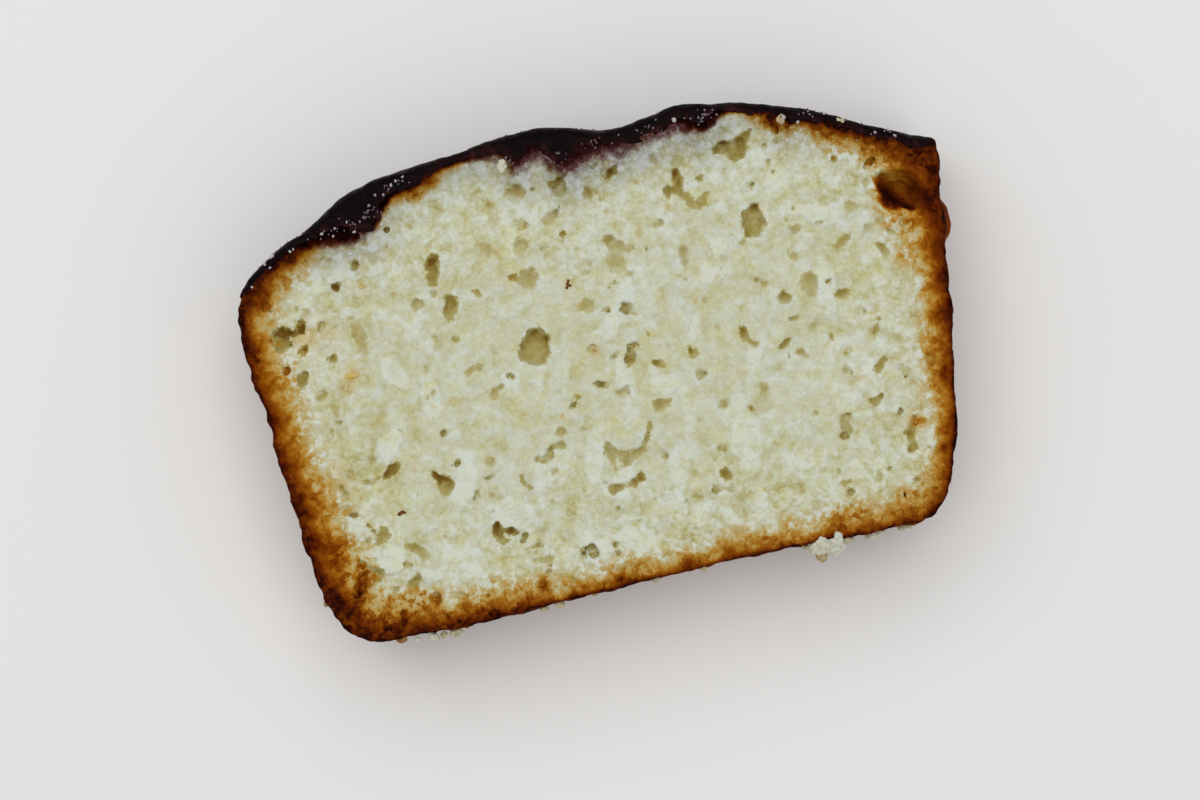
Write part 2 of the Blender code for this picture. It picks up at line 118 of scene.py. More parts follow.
# Hollows in the cut face: depth, how tan the inside is painted as shade, which way it deepens in degrees,
# and outline
Hollow = namedtuple("Hollow", "depth tan deepens outline")
UP = 90
HOLLOWS = [Hollow(*row) for row in (
    (4.6, 0.9, 225, ((48.5, 53.1), (49.6, 53.7), (50.8, 53.4), (52.6, 53.5), (54.4, 52.6), (55.8, 50.8),
        (55.8, 48.4), (54.5, 47.1), (53.1, 46.7), (51.5, 47.3), (50.0, 48.4), (49.4, 49.9), (49.0, 51.6))),
    (1.0, 0.5, 250, ((51.0, 55.3), (53.3, 55.9), (55.8, 55.3), (57.3, 53.0), (57.6, 50.0), (57.0, 47.9),
        (55.6, 48.4), (55.6, 51.0), (54.0, 53.2), (51.6, 53.2))),
    (1.4, 0.8, UP, ((53.9, 54.1), (54.3, 54.9), (54.9, 54.6), (54.7, 53.9))),
    (2.6, 1.0, UP, ((-47.2, 49.7), (-45.7, 49.7), (-44.7, 49.3), (-44.0, 48.7), (-43.3, 49.2),
        (-42.9, 50.2), (-42.1, 50.1), (-41.9, 49.3), (-42.6, 48.1), (-43.5, 48.4), (-44.2, 48.3),
        (-44.8, 48.0), (-45.3, 47.5), (-44.5, 46.9), (-44.7, 46.5), (-45.6, 46.7), (-46.2, 46.1),
        (-47.5, 46.0), (-47.7, 47.3), (-47.5, 48.7))),
    (0.7, 0.5, UP, ((-42.3, 50.9), (-41.5, 51.6), (-40.8, 51.3), (-41.0, 50.6), (-41.9, 50.0))),
    (1.2, 0.9, UP, ((-44.0, 45.4), (-43.4, 45.9), (-42.5, 46.0), (-42.8, 45.4), (-43.4, 44.9))),
    (1.8, 0.85, UP, ((-45.0, 42.0), (-43.8, 42.6), (-43.0, 42.0), (-43.6, 40.7), (-44.2, 39.6),
        (-45.0, 39.9), (-44.7, 41.1))),
    (1.3, 0.75, UP, ((-39.6, 43.6), (-38.9, 44.2), (-38.4, 43.9), (-38.5, 42.9), (-38.9, 42.4),
        (-39.4, 42.9))),
    (0.4, 0.4, UP, ((-35.0, 48.9), (-34.4, 49.1), (-34.0, 47.5), (-33.2, 45.6), (-33.4, 43.6),
        (-34.0, 42.4), (-34.6, 43.6), (-34.9, 45.5), (-35.3, 47.2))),
    (1.7, 0.75, UP, ((-22.1, 54.4), (-21.6, 54.9), (-20.8, 55.6), (-19.9, 55.3), (-20.0, 53.8),
        (-20.1, 52.7), (-20.8, 51.6), (-21.3, 50.9), (-22.0, 51.6), (-22.1, 52.7), (-21.5, 53.2))),
    (1.6, 0.7, UP, ((-19.9, 49.0), (-18.8, 48.9), (-18.3, 48.5), (-18.3, 47.6), (-18.9, 46.6),
        (-19.3, 45.3), (-20.2, 45.3), (-20.8, 46.4), (-20.3, 47.7))),
    (1.2, 0.7, UP, ((-15.5, 49.0), (-14.7, 49.1), (-14.5, 47.9), (-15.3, 48.0))),
    (1.0, 0.8, UP, ((-10.0, 50.1), (-9.2, 49.9), (-8.1, 49.3), (-8.4, 48.9), (-9.6, 49.2))),
    (1.1, 0.55, UP, ((-7.5, 50.3), (-6.6, 50.2), (-5.9, 50.8), (-5.8, 49.9), (-5.4, 48.8), (-6.1, 47.6),
        (-7.0, 47.7), (-7.9, 48.1), (-7.8, 49.5))),
    (0.6, 0.5, UP, ((-8.1, 54.5), (-6.8, 55.1), (-5.9, 54.7), (-6.0, 53.6), (-7.0, 52.8), (-8.0, 53.3))),
    (0.6, 0.55, UP, ((-25.2, 48.8), (-24.4, 49.7), (-23.5, 49.2), (-23.3, 48.4), (-24.3, 48.6),
        (-25.1, 47.9))),
    (2.3, 0.72, UP, ((-9.2, 40.1), (-8.5, 41.1), (-7.1, 41.3), (-6.7, 40.4), (-5.5, 39.7), (-6.0, 38.5),
        (-6.1, 37.2), (-7.0, 36.1), (-8.5, 36.0), (-9.9, 36.8), (-10.8, 37.1), (-10.3, 38.8),
        (-9.7, 39.7))),
    (0.9, 0.55, UP, ((-19.5, 37.0), (-18.4, 37.6), (-17.3, 37.6), (-16.9, 36.8), (-17.9, 37.0),
        (-19.0, 36.4), (-19.5, 36.1))),
    (0.9, 0.6, UP, ((-16.4, 32.4), (-16.0, 33.1), (-15.1, 33.8), (-14.3, 33.9), (-14.4, 33.4),
        (-15.3, 33.1), (-15.7, 32.3))),
    (1.6, 0.68, UP, ((18.3, 60.4), (19.0, 60.7), (19.5, 59.1), (19.4, 57.1), (20.0, 56.7), (20.2, 55.6),
        (20.9, 54.9), (21.4, 55.7), (22.3, 56.1), (23.1, 56.3), (22.7, 55.4), (22.0, 54.3), (21.4, 53.9),
        (20.5, 54.2), (19.6, 54.9), (19.2, 55.8), (18.3, 56.5), (17.5, 57.1), (16.9, 56.6), (16.4, 57.8),
        (17.0, 58.2), (18.0, 58.2), (18.2, 59.5))),
    (0.6, 0.45, UP, ((18.4, 61.7), (19.0, 62.8), (19.9, 62.4), (20.6, 61.6), (20.4, 60.9), (19.3, 61.0))),
    (1.0, 0.7, UP, ((21.7, 58.2), (21.8, 58.9), (22.4, 58.7), (22.0, 57.9))),
    (2.0, 0.75, UP, ((24.7, 62.3), (25.7, 62.9), (26.8, 63.5), (28.1, 63.0), (30.1, 63.7), (31.3, 64.2),
        (30.8, 63.2), (30.3, 62.4), (30.0, 61.3), (29.2, 60.2), (28.1, 60.0), (27.3, 60.8), (26.0, 61.4),
        (24.9, 61.7))),
    (2.2, 0.7, UP, ((27.5, 51.5), (28.1, 52.1), (29.2, 53.0), (30.1, 52.8), (30.2, 51.0), (30.8, 49.5),
        (30.1, 49.1), (29.2, 48.0), (28.1, 48.0), (27.3, 48.0), (26.5, 47.2), (26.3, 47.5), (27.3, 48.6),
        (27.3, 49.9))),
    (0.9, 0.7, UP, ((34.5, 61.9), (35.1, 62.1), (35.3, 61.6), (34.8, 61.2))),
    (1.0, 0.5, UP, ((5.6, 52.3), (6.9, 53.1), (7.8, 52.0), (9.1, 50.9), (9.9, 50.3), (9.1, 49.5),
        (8.0, 49.6), (8.2, 48.3), (7.8, 47.2), (6.5, 46.9), (5.6, 48.1), (5.5, 49.9), (6.7, 50.3),
        (6.0, 51.4))),
    (0.9, 0.55, UP, ((0.1, 43.7), (1.0, 44.4), (1.9, 43.3), (1.8, 42.2), (0.7, 42.0), (0.1, 42.9))),
    (1.2, 0.7, UP, ((9.1, 32.4), (10.2, 32.5), (11.1, 31.7), (10.8, 31.2), (9.7, 31.5))),
    (1.4, 0.7, UP, ((14.8, 33.5), (16.5, 32.8), (16.2, 31.7), (14.8, 31.3), (14.7, 32.4))),
    (1.1, 0.6, UP, ((7.9, 26.5), (8.9, 26.6), (9.4, 26.2), (10.5, 26.2), (10.6, 25.5), (9.1, 25.5),
        (8.9, 24.9), (7.9, 24.9))),
    (1.2, 0.65, UP, ((-0.7, 21.7), (-1.1, 20.2), (-0.3, 18.9), (0.4, 19.1), (1.0, 18.9), (1.7, 18.0),
        (2.5, 18.0), (4.1, 18.9), (5.2, 19.6), (6.0, 21.1), (6.9, 23.3), (6.5, 23.5), (5.8, 21.7),
        (4.9, 20.3), (3.9, 19.7), (2.5, 19.5), (1.2, 19.8), (0.4, 20.7), (-0.1, 21.7))),
    (1.1, 0.7, UP, ((-1.9, 15.0), (-0.7, 15.1), (0.6, 14.8), (1.9, 14.9), (1.9, 14.5), (0.6, 14.4),
        (-0.3, 14.1), (-1.2, 14.0))),
    (1.4, 0.85, UP, ((1.9, 15.0), (3.0, 15.3), (3.6, 16.0), (4.0, 15.1), (3.0, 14.9), (2.3, 14.1))),
    (1.3, 0.7, UP, ((15.6, 13.7), (16.6, 14.1), (17.2, 13.2), (17.1, 12.1), (16.3, 12.3), (15.7, 12.9))),
    (0.8, 0.8, UP, ((-42.1, 23.7), (-41.7, 23.7), (-41.2, 22.8), (-40.9, 21.9), (-41.2, 21.8),
        (-41.6, 22.7))),
    (1.1, 0.7, UP, ((-35.5, 23.9), (-34.4, 24.9), (-33.1, 25.8), (-32.1, 25.6), (-32.7, 24.3),
        (-34.2, 23.9), (-35.3, 23.3))),
    (1.3, 0.65, UP, ((-27.5, 22.9), (-26.6, 22.2), (-25.1, 21.3), (-24.6, 20.9), (-25.7, 19.5),
        (-26.4, 19.1), (-27.3, 19.6), (-26.8, 20.8), (-27.6, 21.9))),
    (1.4, 0.8, UP, ((-39.2, 17.1), (-37.9, 15.5), (-37.1, 16.2), (-36.4, 16.0), (-35.7, 14.7),
        (-36.8, 14.4), (-37.6, 14.1), (-38.4, 13.8), (-38.1, 14.9))),
    (2.2, 0.8, 200, ((-41.7, 12.2), (-40.3, 10.9), (-39.2, 10.3), (-38.6, 9.7), (-39.1, 8.3), (-40.5, 7.8),
        (-41.6, 7.0), (-43.2, 6.6), (-43.2, 8.5), (-41.8, 10.2))),
    (0.9, 0.5, UP, ((-34.1, 12.8), (-32.9, 12.9), (-31.6, 12.0), (-30.9, 10.4), (-31.6, 10.3),
        (-32.7, 11.4))),
    (1.2, 0.75, UP, ((-36.6, 7.2), (-36.4, 6.6), (-37.3, 5.7), (-37.8, 5.8), (-37.3, 6.7))),
    (1.0, 0.65, UP, ((-33.8, 7.7), (-33.2, 8.0), (-33.1, 7.0), (-34.0, 6.1), (-35.1, 6.8))),
    (1.8, 0.85, UP, ((-19.7, 13.3), (-19.1, 12.1), (-17.7, 11.8), (-16.8, 11.1), (-17.7, 11.2),
        (-18.9, 11.5), (-19.0, 10.7), (-18.2, 10.2), (-19.0, 9.7), (-19.9, 10.5), (-20.4, 11.6))),
    (1.0, 0.6, UP, ((-14.5, 19.7), (-14.0, 18.8), (-14.1, 17.9), (-13.3, 17.4), (-14.6, 18.1),
        (-14.9, 19.2))),
    (0.9, 0.55, UP, ((-8.9, 22.9), (-7.9, 23.5), (-6.9, 23.2), (-7.0, 22.3), (-7.9, 22.5))),
    (0.8, 0.55, UP, ((-7.7, 24.8), (-6.8, 25.6), (-6.0, 24.7), (-7.0, 24.4))),
    (0.9, 0.6, UP, ((-15.6, 6.7), (-14.0, 6.5), (-12.4, 6.3), (-12.7, 5.7), (-14.0, 6.0), (-15.5, 6.2))),
    (0.9, 0.6, UP, ((-7.9, 6.8), (-7.4, 6.8), (-7.4, 5.3), (-8.3, 5.2), (-8.0, 5.9))),
    (1.3, 0.7, UP, ((23.4, 34.5), (24.0, 34.7), (24.0, 33.4), (24.7, 32.5), (25.8, 31.9), (25.2, 31.4),
        (24.3, 31.9), (23.4, 32.9))),
    (1.2, 0.7, UP, ((30.3, 38.0), (31.1, 38.6), (31.9, 37.9), (31.6, 36.8), (30.3, 36.9))),
    (0.6, 0.45, UP, ((34.2, 40.8), (35.9, 40.8), (36.3, 38.6), (35.6, 37.1), (34.3, 37.3), (34.0, 39.1))),
    (0.9, 0.6, UP, ((38.4, 36.4), (39.4, 37.0), (40.5, 36.9), (40.6, 36.0), (41.0, 34.9), (40.6, 35.6),
        (39.2, 36.0))),
    (0.8, 0.5, UP, ((33.1, 44.7), (34.0, 44.1), (34.4, 43.1), (33.5, 42.9), (33.0, 43.9))),
    (0.8, 0.5, UP, ((40.1, 44.1), (40.9, 44.5), (41.8, 44.7), (42.9, 45.4), (43.1, 44.9), (41.8, 43.9),
        (40.7, 43.3))),
    (0.9, 0.6, UP, ((28.9, 30.5), (29.8, 31.3), (30.4, 31.4), (29.8, 30.5), (29.2, 30.3))),
    (0.9, 0.6, UP, ((31.2, 29.1), (31.8, 29.5), (32.4, 28.8), (32.7, 27.9), (32.0, 28.5))),
    (0.9, 0.55, UP, ((42.2, 24.4), (43.1, 24.5), (43.9, 25.7), (44.1, 25.1), (43.3, 23.9), (42.4, 23.7))),
    (1.0, 0.65, UP, ((40.7, 19.4), (41.6, 19.3), (42.4, 19.8), (41.9, 18.7), (41.1, 18.4))),
    (1.7, 0.8, UP, ((44.8, 13.4), (45.7, 14.0), (46.3, 14.9), (46.6, 15.8), (47.0, 15.6), (46.5, 14.0),
        (46.1, 12.6), (46.1, 10.5), (45.6, 10.2), (44.8, 10.4), (45.3, 11.9))),
    (1.0, 0.7, UP, ((50.1, 20.4), (50.9, 20.6), (51.3, 19.5), (50.4, 19.1))),
    (0.8, 0.5, UP, ((-7.6, 62.7), (-6.3, 63.5), (-5.2, 63.3), (-4.5, 62.1), (-5.0, 61.1), (-6.3, 60.9),
        (-7.4, 61.9))),
    (1.3, 0.85, UP, ((-0.8, 63.1), (0.2, 62.9), (1.1, 63.2), (0.9, 62.2), (0.0, 62.2), (-0.7, 62.4))),
    (1.1, 0.65, UP, ((4.3, 60.0), (4.8, 60.5), (5.3, 60.0), (5.1, 59.2), (4.3, 59.3))),
    (1.1, 0.75, UP, ((8.0, 61.8), (8.4, 62.2), (9.6, 62.9), (9.8, 62.1), (8.9, 61.8), (8.3, 61.2))),
    (1.1, 0.9, UP, ((-0.8, 54.8), (-0.2, 55.0), (0.1, 54.5), (-0.3, 54.0), (-0.8, 54.3))),
    (1.4, 0.6, UP, ((46.9, 43.0), (47.8, 42.7), (48.1, 41.6), (47.4, 40.6), (46.8, 41.8))),
    (0.6, 0.5, UP, ((42.9, 50.4), (43.6, 50.5), (44.6, 49.5), (45.2, 49.0), (44.6, 48.6), (43.3, 48.9))),
)]

# Smaller hollows: place, length, width, turn in degrees, depth, and how tan the inside is painted as shade
Dent = namedtuple("Dent", "x y long short turn depth tan")
DENTS = [Dent(*row) for row in (
    (-46.9, 43.6, 1.2, 0.6, -70, 0.8, 0.7), (-36.4, 54.2, 0.7, 0.6, 0, 0.8, 0.8),
    (-37.6, 48.0, 1.3, 0.5, 5, 0.6, 0.5), (-35.3, 47.4, 1.2, 0.5, 55, 0.7, 0.6),
    (-41.8, 37.6, 1.3, 0.9, 20, 0.5, 0.5), (51.2, 45.5, 0.6, 1.0, 0, 0.8, 0.6),
    (49.7, 43.8, 1.1, 0.8, -30, 0.8, 0.55), (50.7, 42.9, 0.6, 1.1, 0, 0.6, 0.5),
    (46.9, 52.4, 1.3, 1.4, 0, 0.5, 0.5), (48.0, 55.1, 1.2, 0.8, 20, 0.6, 0.5),
    (44.2, 56.3, 1.4, 1.2, 0, 0.4, 0.35), (47.8, 47.2, 0.9, 2.0, -20, 0.4, 0.4),
    (-21.6, 50.0, 0.6, 0.6, 0, 0.6, 0.5), (-19.9, 42.3, 0.7, 1.2, 0, 0.6, 0.45),
    (-3.7, 32.8, 1.2, 1.1, 0, 0.4, 0.4), (-22.7, 41.8, 1.5, 1.6, 0, 0.35, 0.35),
    (-25.1, 39.2, 0.8, 1.9, 0, 0.35, 0.35), (-14.4, 39.4, 1.8, 1.5, 30, 0.3, 0.3),
    (-12.0, 54.9, 1.6, 1.2, 0, 0.3, 0.3), (-13.9, 51.9, 0.9, 1.1, 0, 0.3, 0.3),
    (-18.6, 50.6, 2.0, 0.8, 45, 0.3, 0.3), (15.7, 62.8, 1.5, 1.5, 0, 0.5, 0.4),
    (13.6, 60.0, 0.9, 0.8, 0, 0.4, 0.35), (14.3, 52.9, 1.4, 0.8, 0, 0.5, 0.45),
    (35.1, 47.8, 1.8, 1.5, 0, 0.5, 0.45), (32.7, 60.8, 0.7, 1.2, -20, 0.6, 0.45),
    (29.9, 55.8, 0.7, 1.2, -20, 0.7, 0.5), (34.9, 64.1, 0.6, 1.8, 10, 0.7, 0.6),
    (11.3, 52.0, 1.2, 1.9, -20, 0.4, 0.35), (1.9, 49.5, 1.6, 1.7, 0, 0.3, 0.3),
    (17.3, 47.7, 1.2, 1.6, 0, 0.3, 0.35), (17.3, 46.2, 1.2, 1.6, 0, 0.35, 0.4),
    (6.0, 45.6, 0.9, 0.7, 0, 0.7, 0.5), (8.7, 46.4, 1.3, 0.6, -10, 0.6, 0.4),
    (12.8, 42.8, 1.5, 0.9, -30, 0.4, 0.4), (18.9, 39.9, 1.4, 1.3, 0, 0.5, 0.5),
    (19.8, 35.8, 1.4, 1.8, 30, 0.5, 0.45), (6.8, 38.6, 1.9, 0.8, -15, 0.4, 0.35),
    (0.6, 36.0, 1.0, 0.9, 0, 0.3, 0.3), (9.3, 37.1, 0.8, 1.6, 10, 0.8, 0.6),
    (7.0, 35.5, 1.5, 0.9, -15, 0.9, 0.7), (5.9, 33.5, 0.9, 1.7, -10, 0.8, 0.55),
    (4.2, 34.9, 1.4, 0.5, 20, 0.5, 0.4), (16.7, 43.8, 1.3, 0.4, -40, 0.5, 0.45),
    (0.7, 30.6, 1.5, 0.8, 0, 0.8, 0.6), (11.9, 34.0, 0.8, 1.6, 0, 0.4, 0.3),
    (14.3, 22.2, 1.1, 1.1, 0, 0.4, 0.35), (15.9, 29.2, 1.1, 1.1, 0, 0.4, 0.4),
    (3.6, 28.9, 1.3, 0.8, 0, 0.4, 0.35), (12.0, 14.3, 1.3, 1.2, 0, 0.4, 0.35),
    (4.7, 11.6, 1.1, 0.7, 40, 0.6, 0.45), (7.8, 11.4, 0.6, 1.2, 0, 0.6, 0.45),
    (15.7, 11.0, 1.5, 0.8, 0, 0.5, 0.45), (12.1, 10.4, 1.5, 0.9, -25, 0.5, 0.4),
    (16.0, 17.2, 1.2, 0.6, 30, 0.6, 0.5), (15.4, 15.6, 0.8, 0.6, 0, 0.5, 0.4),
    (18.1, 24.0, 1.3, 1.5, 0, 0.4, 0.4), (7.0, 18.3, 1.8, 0.8, 0, 0.3, 0.3),
    (1.8, 9.0, 0.7, 0.4, -20, 0.6, 0.5), (-3.3, 29.8, 1.6, 0.9, 0, 0.5, 0.5),
    (-2.6, 25.8, 0.8, 0.6, 40, 0.5, 0.4), (-3.3, 24.6, 1.6, 0.9, 0, 0.5, 0.4),
    (12.2, 20.2, 1.2, 0.5, 0, 0.4, 0.35), (-2.1, 15.7, 0.6, 0.6, 0, 0.7, 0.55),
    (-1.0, 11.5, 0.6, 0.6, 0, 0.5, 0.45), (9.9, 8.9, 0.9, 1.6, 0, 0.4, 0.4),
    (-0.1, 17.7, 0.9, 1.5, 0, 0.5, 0.45), (-27.9, 3.6, 2.0, 0.9, -20, 0.8, 0.6),
    (-32.0, 3.3, 1.5, 0.9, 20, 0.8, 0.6), (-23.3, 2.6, 0.7, 0.6, 0, 0.8, 0.8),
    (-30.3, 20.2, 1.2, 0.9, 0, 0.6, 0.55), (-41.5, 20.3, 1.8, 1.2, 0, 0.5, 0.5),
    (-34.6, 9.8, 1.1, 1.5, 0, 0.4, 0.4), (-24.8, 13.3, 0.9, 0.8, 0, 0.4, 0.35),
    (-26.3, 14.8, 0.9, 0.6, 0, 0.4, 0.4), (-27.0, 12.1, 1.2, 0.6, 0, 0.4, 0.35),
    (-22.1, 9.6, 1.5, 1.0, -20, 0.5, 0.45), (-37.4, 23.5, 2.0, 0.9, 0, 0.5, 0.45),
    (-39.6, 15.1, 0.7, 0.5, 0, 0.5, 0.4), (-11.6, 21.6, 0.9, 0.6, 0, 0.6, 0.45),
    (-18.9, 22.9, 1.2, 1.0, 0, 0.4, 0.4), (-19.6, 17.6, 1.5, 1.5, 0, 0.4, 0.45),
    (-22.4, 15.9, 0.7, 0.4, -30, 0.5, 0.45), (-21.7, 15.2, 0.6, 0.5, 0, 0.5, 0.4),
    (-18.8, 20.6, 1.3, 0.4, 25, 0.5, 0.35), (-10.6, 14.6, 0.9, 0.6, -20, 0.5, 0.4),
    (-5.2, 8.9, 0.8, 0.4, 20, 0.6, 0.6), (-13.5, 4.1, 0.8, 0.5, 30, 0.7, 0.6),
    (-14.7, 2.6, 2.0, 1.1, 0, 0.7, 0.7), (-20.1, 2.9, 1.2, 0.6, 20, 0.6, 0.6),
    (-5.5, 15.7, 0.7, 2.0, 5, 0.4, 0.35), (-2.5, 6.1, 0.6, 0.5, 0, 0.5, 0.4),
    (-14.3, 8.5, 1.8, 0.6, -5, 0.8, 0.6), (-13.6, 9.6, 1.6, 1.4, 30, 0.4, 0.35),
    (-15.9, 10.4, 1.0, 0.7, 60, 0.6, 0.45), (-9.0, 3.6, 2.4, 1.4, 30, 0.5, 0.55),
    (32.0, 34.3, 0.9, 0.6, 0, 0.6, 0.45), (36.9, 30.5, 0.8, 1.5, 0, 0.6, 0.5),
    (24.6, 37.9, 1.6, 0.6, 40, 0.6, 0.45), (27.9, 41.0, 1.5, 0.5, -30, 0.6, 0.45),
    (28.4, 40.5, 1.5, 0.9, -10, 0.3, 0.4), (38.4, 27.5, 1.8, 0.9, 45, 0.6, 0.5),
    (37.7, 25.3, 0.6, 1.2, 0, 0.5, 0.4), (41.7, 33.3, 0.9, 1.6, 0, 0.5, 0.4),
    (43.7, 29.9, 1.2, 1.8, 0, 0.5, 0.5), (25.2, 24.9, 1.2, 1.6, 0, 0.4, 0.4),
    (23.3, 45.5, 1.2, 1.3, 0, 0.4, 0.35), (38.7, 47.8, 1.1, 0.7, 0, 0.5, 0.4),
    (27.9, 27.4, 1.8, 0.7, 25, 0.4, 0.35), (20.7, 46.3, 1.2, 0.7, 0, 0.4, 0.35),
    (33.9, 36.9, 0.7, 2.4, -10, 0.3, 0.3), (24.5, 42.3, 1.6, 1.3, 0, 0.25, 0.25),
    (34.5, 32.8, 2.4, 1.2, 40, 0.25, 0.25), (32.1, 19.4, 1.0, 0.8, 30, 0.6, 0.5),
    (34.4, 8.0, 1.7, 0.8, 0, 0.6, 0.55), (41.1, 8.7, 0.6, 0.5, 0, 0.7, 0.6),
    (39.4, 7.5, 0.9, 1.2, -30, 0.5, 0.45), (39.0, 5.5, 2.0, 0.7, 20, 0.6, 0.5),
    (35.9, 16.8, 1.2, 1.5, 0, 0.4, 0.4), (35.3, 15.2, 0.7, 0.7, 0, 0.5, 0.4),
    (40.9, 17.0, 1.1, 2.0, -10, 0.4, 0.35), (39.7, 13.3, 1.2, 0.5, -30, 0.5, 0.4),
    (47.1, 22.8, 1.6, 1.5, 0, 0.5, 0.45), (48.1, 21.0, 0.9, 1.2, 20, 0.4, 0.35),
    (49.0, 25.7, 0.7, 0.7, 0, 0.5, 0.5), (45.1, 6.1, 0.9, 0.4, 0, 0.7, 0.7),
    (46.4, 5.6, 1.1, 0.6, -25, 0.6, 0.6), (42.9, 14.5, 0.9, 0.7, 30, 0.4, 0.35),
    (44.4, 16.1, 0.6, 1.2, 0, 0.5, 0.4), (47.6, 16.7, 1.5, 0.6, -20, 0.5, 0.45),
    (33.3, 4.2, 1.2, 0.8, 0, 0.6, 0.5), (50.5, 23.3, 1.2, 0.7, 20, 0.5, 0.5),
    (-32.9, 56.9, 0.8, 1.6, -20, 0.5, 0.45), (-32.0, 53.3, 1.3, 0.8, 0, 0.4, 0.4),
    (-39.7, 58.5, 0.9, 0.6, 0, 0.5, 0.5), (-37.7, 55.6, 0.8, 1.6, 0, 0.4, 0.4),
    (-29.0, 57.3, 1.6, 1.8, 0, 0.3, 0.3), (-27.6, 55.2, 1.4, 0.7, 0, 0.3, 0.3),
    (-22.5, 64.6, 1.0, 0.8, 30, 0.8, 0.7), (0.8, 61.6, 1.2, 1.4, 0, 0.5, 0.45),
    (-2.0, 57.2, 1.6, 1.5, 0, 0.5, 0.4), (7.0, 56.5, 1.4, 1.3, 0, 0.4, 0.4),
    (7.9, 54.4, 1.3, 1.3, 0, 0.35, 0.3), (6.5, 58.5, 0.9, 0.7, 0, 0.5, 0.45),
    (1.1, 58.9, 1.3, 1.1, 0, 0.25, 0.25), (6.7, 63.9, 1.4, 0.5, 15, 0.5, 0.4),
    (-3.9, 53.0, 0.5, 0.5, 0, 0.6, 0.4), (-3.1, 62.3, 0.8, 0.4, -15, 0.5, 0.45),
    (-1.1, 53.6, 1.6, 1.3, 0, 0.25, 0.3), (-0.5, 60.7, 1.0, 0.4, 30, 0.5, 0.4),
)]


def smooth_curve(points, steps=24):
    """A closed curve through the points, tangent at each to the line between its neighbours."""
    curve = []
    count = len(points)
    for i in range(count):
        before, start, end, after = (Vector(points[(i + k) % count]) for k in (-1, 0, 1, 2))
        for step in range(steps):
            t = step / steps
            straight = 2 * start + (end - before) * t
            bend = (2 * before - 5 * start + 4 * end - after) * t**2
            turn = (3 * start - before - 3 * end + after) * t**3
            curve.append((straight + bend + turn) / 2)
    return curve


def evenly_spaced(curve, spacing):
    """Points along the closed curve, about the spacing apart."""
    lengths = [0.0]
    for a, b in zip(curve, curve[1:] + curve[:1]):
        lengths.append(lengths[-1] + (b - a).length)
    count = round(lengths[-1] / spacing)
    places = []
    k = 0
    for i in range(count):
        along = lengths[-1] * i / count
        while lengths[k + 1] < along:
            k += 1
        share = (along - lengths[k]) / (lengths[k + 1] - lengths[k])
        places.append(curve[k].lerp(curve[(k + 1) % len(curve)], share))
    return places


def glaze_depth(x):
    pooled = sum(p.depth * math.exp(-(((x - p.x) / p.half_width) ** 2)) for p in PUDDLES)
    return FILM_DEPTH + pooled


Station = namedtuple("Station", "x y out_x out_y inset")


def find_stations():
    """The outline as evenly spaced places, with outward direction and how far the glaze reaches in."""
    places = evenly_spaced(smooth_curve(BASE + RIGHT_WALL + DOME + LEFT_WALL), STATION_SPACING)
    right_end = Vector(DOME[0])
    left_end = Vector(DOME[-1])
    slope = (right_end.y - left_end.y) / (right_end.x - left_end.x)
    stations = []
    for i, place in enumerate(places):
        along = places[(i + 1) % len(places)] - places[i - 1]
        out = Vector((along.y, -along.x)).normalized()
        inset = 0.0
        if place.y > left_end.y + slope * (place.x - left_end.x):
            from_end = min((place - right_end).length, (place - left_end).length)
            inset = (glaze_depth(place.x) + GAP) * min(1.0, from_end / FILM_RAMP)
        stations.append(Station(place.x, place.y, out.x, out.y, inset))
    return stations


def crust_lip(station, z):
    if station.x < 0:
        return 0.0
    up = (station.y - LIP_HEIGHT) / LIP_HALF_HEIGHT
    through = (z - LIP_LEVEL) / LIP_HALF_LEVEL
    return LIP_REACH * math.exp(-(up**4) - through**2)


def crust_wall(station, z, inset=None):
    crag = noise.noise(Vector((station.x, station.y, z)) / CRAG_SIZE) * CRUST_CRAGS
    out = crag + crust_lip(station, z) - (station.inset if inset is None else inset)
    return (station.x + station.out_x * out, station.y + station.out_y * out)


def cut_level(x, y):
    soft = noise.noise(Vector((x, y, 0.0)) / CUT_CRAG_SIZE) * CUT_CRAGS
    away = math.hypot(x - LOOSE_LUMP[0], y - LOOSE_LUMP[1]) / LOOSE_LUMP_RADIUS
    return THICKNESS + soft + LOOSE_LUMP_RISE * math.exp(-(away**4))


STATIONS = find_stations()
cake_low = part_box("cake")[0]
walls = [crust_wall(s, z) for s in STATIONS for z in WALL_LEVELS[:-1]]
lowest_x, lowest_y = (min(place[k] for place in walls) for k in (0, 1))
SHIFT = np.array((cake_low.x / MM - lowest_x, cake_low.y / MM - lowest_y, 0.0))

# The grids that surfaces are found on, fine near the shown face, and the room around the pieces
CELL = 0.3
UNDER_CELL = 0.5
WALL_CELL = 0.6
GLAZE_CELL = 0.35
MARGIN = 1.7
ROOM_BELOW = 0.5
ROOM_ABOVE = 2.0
ROOM_LEFT = 0.5
ROOM_RIGHT = 1.5
GLAZE_ROOM = 2.5
GLAZE_ROOM_BELOW = 0.3
GLAZE_ROOM_ABOVE = 1.6
GLAZE_SHOWN_DEPTH = 3.0
CUT_STEP = 4
UNDER_DEPTH = 2.2
SHOWN_DEPTH = 6.5
GRANULE_DEPTH = 3.0
FADE_LAYERS = 3.0
USUAL_CLOSENESS = 0.3
LATTICE_GAIN = 2.2

# How hollows and bubbles are cut
EDGE_LEAN = 0.5
HOLLOW_SHARE = 0.5
HOLLOW_GROWTH = 0.20
DEEP_HOLLOW = 4.0
RAGGEDNESS = 0.6
DENT_LIFT = 0.1
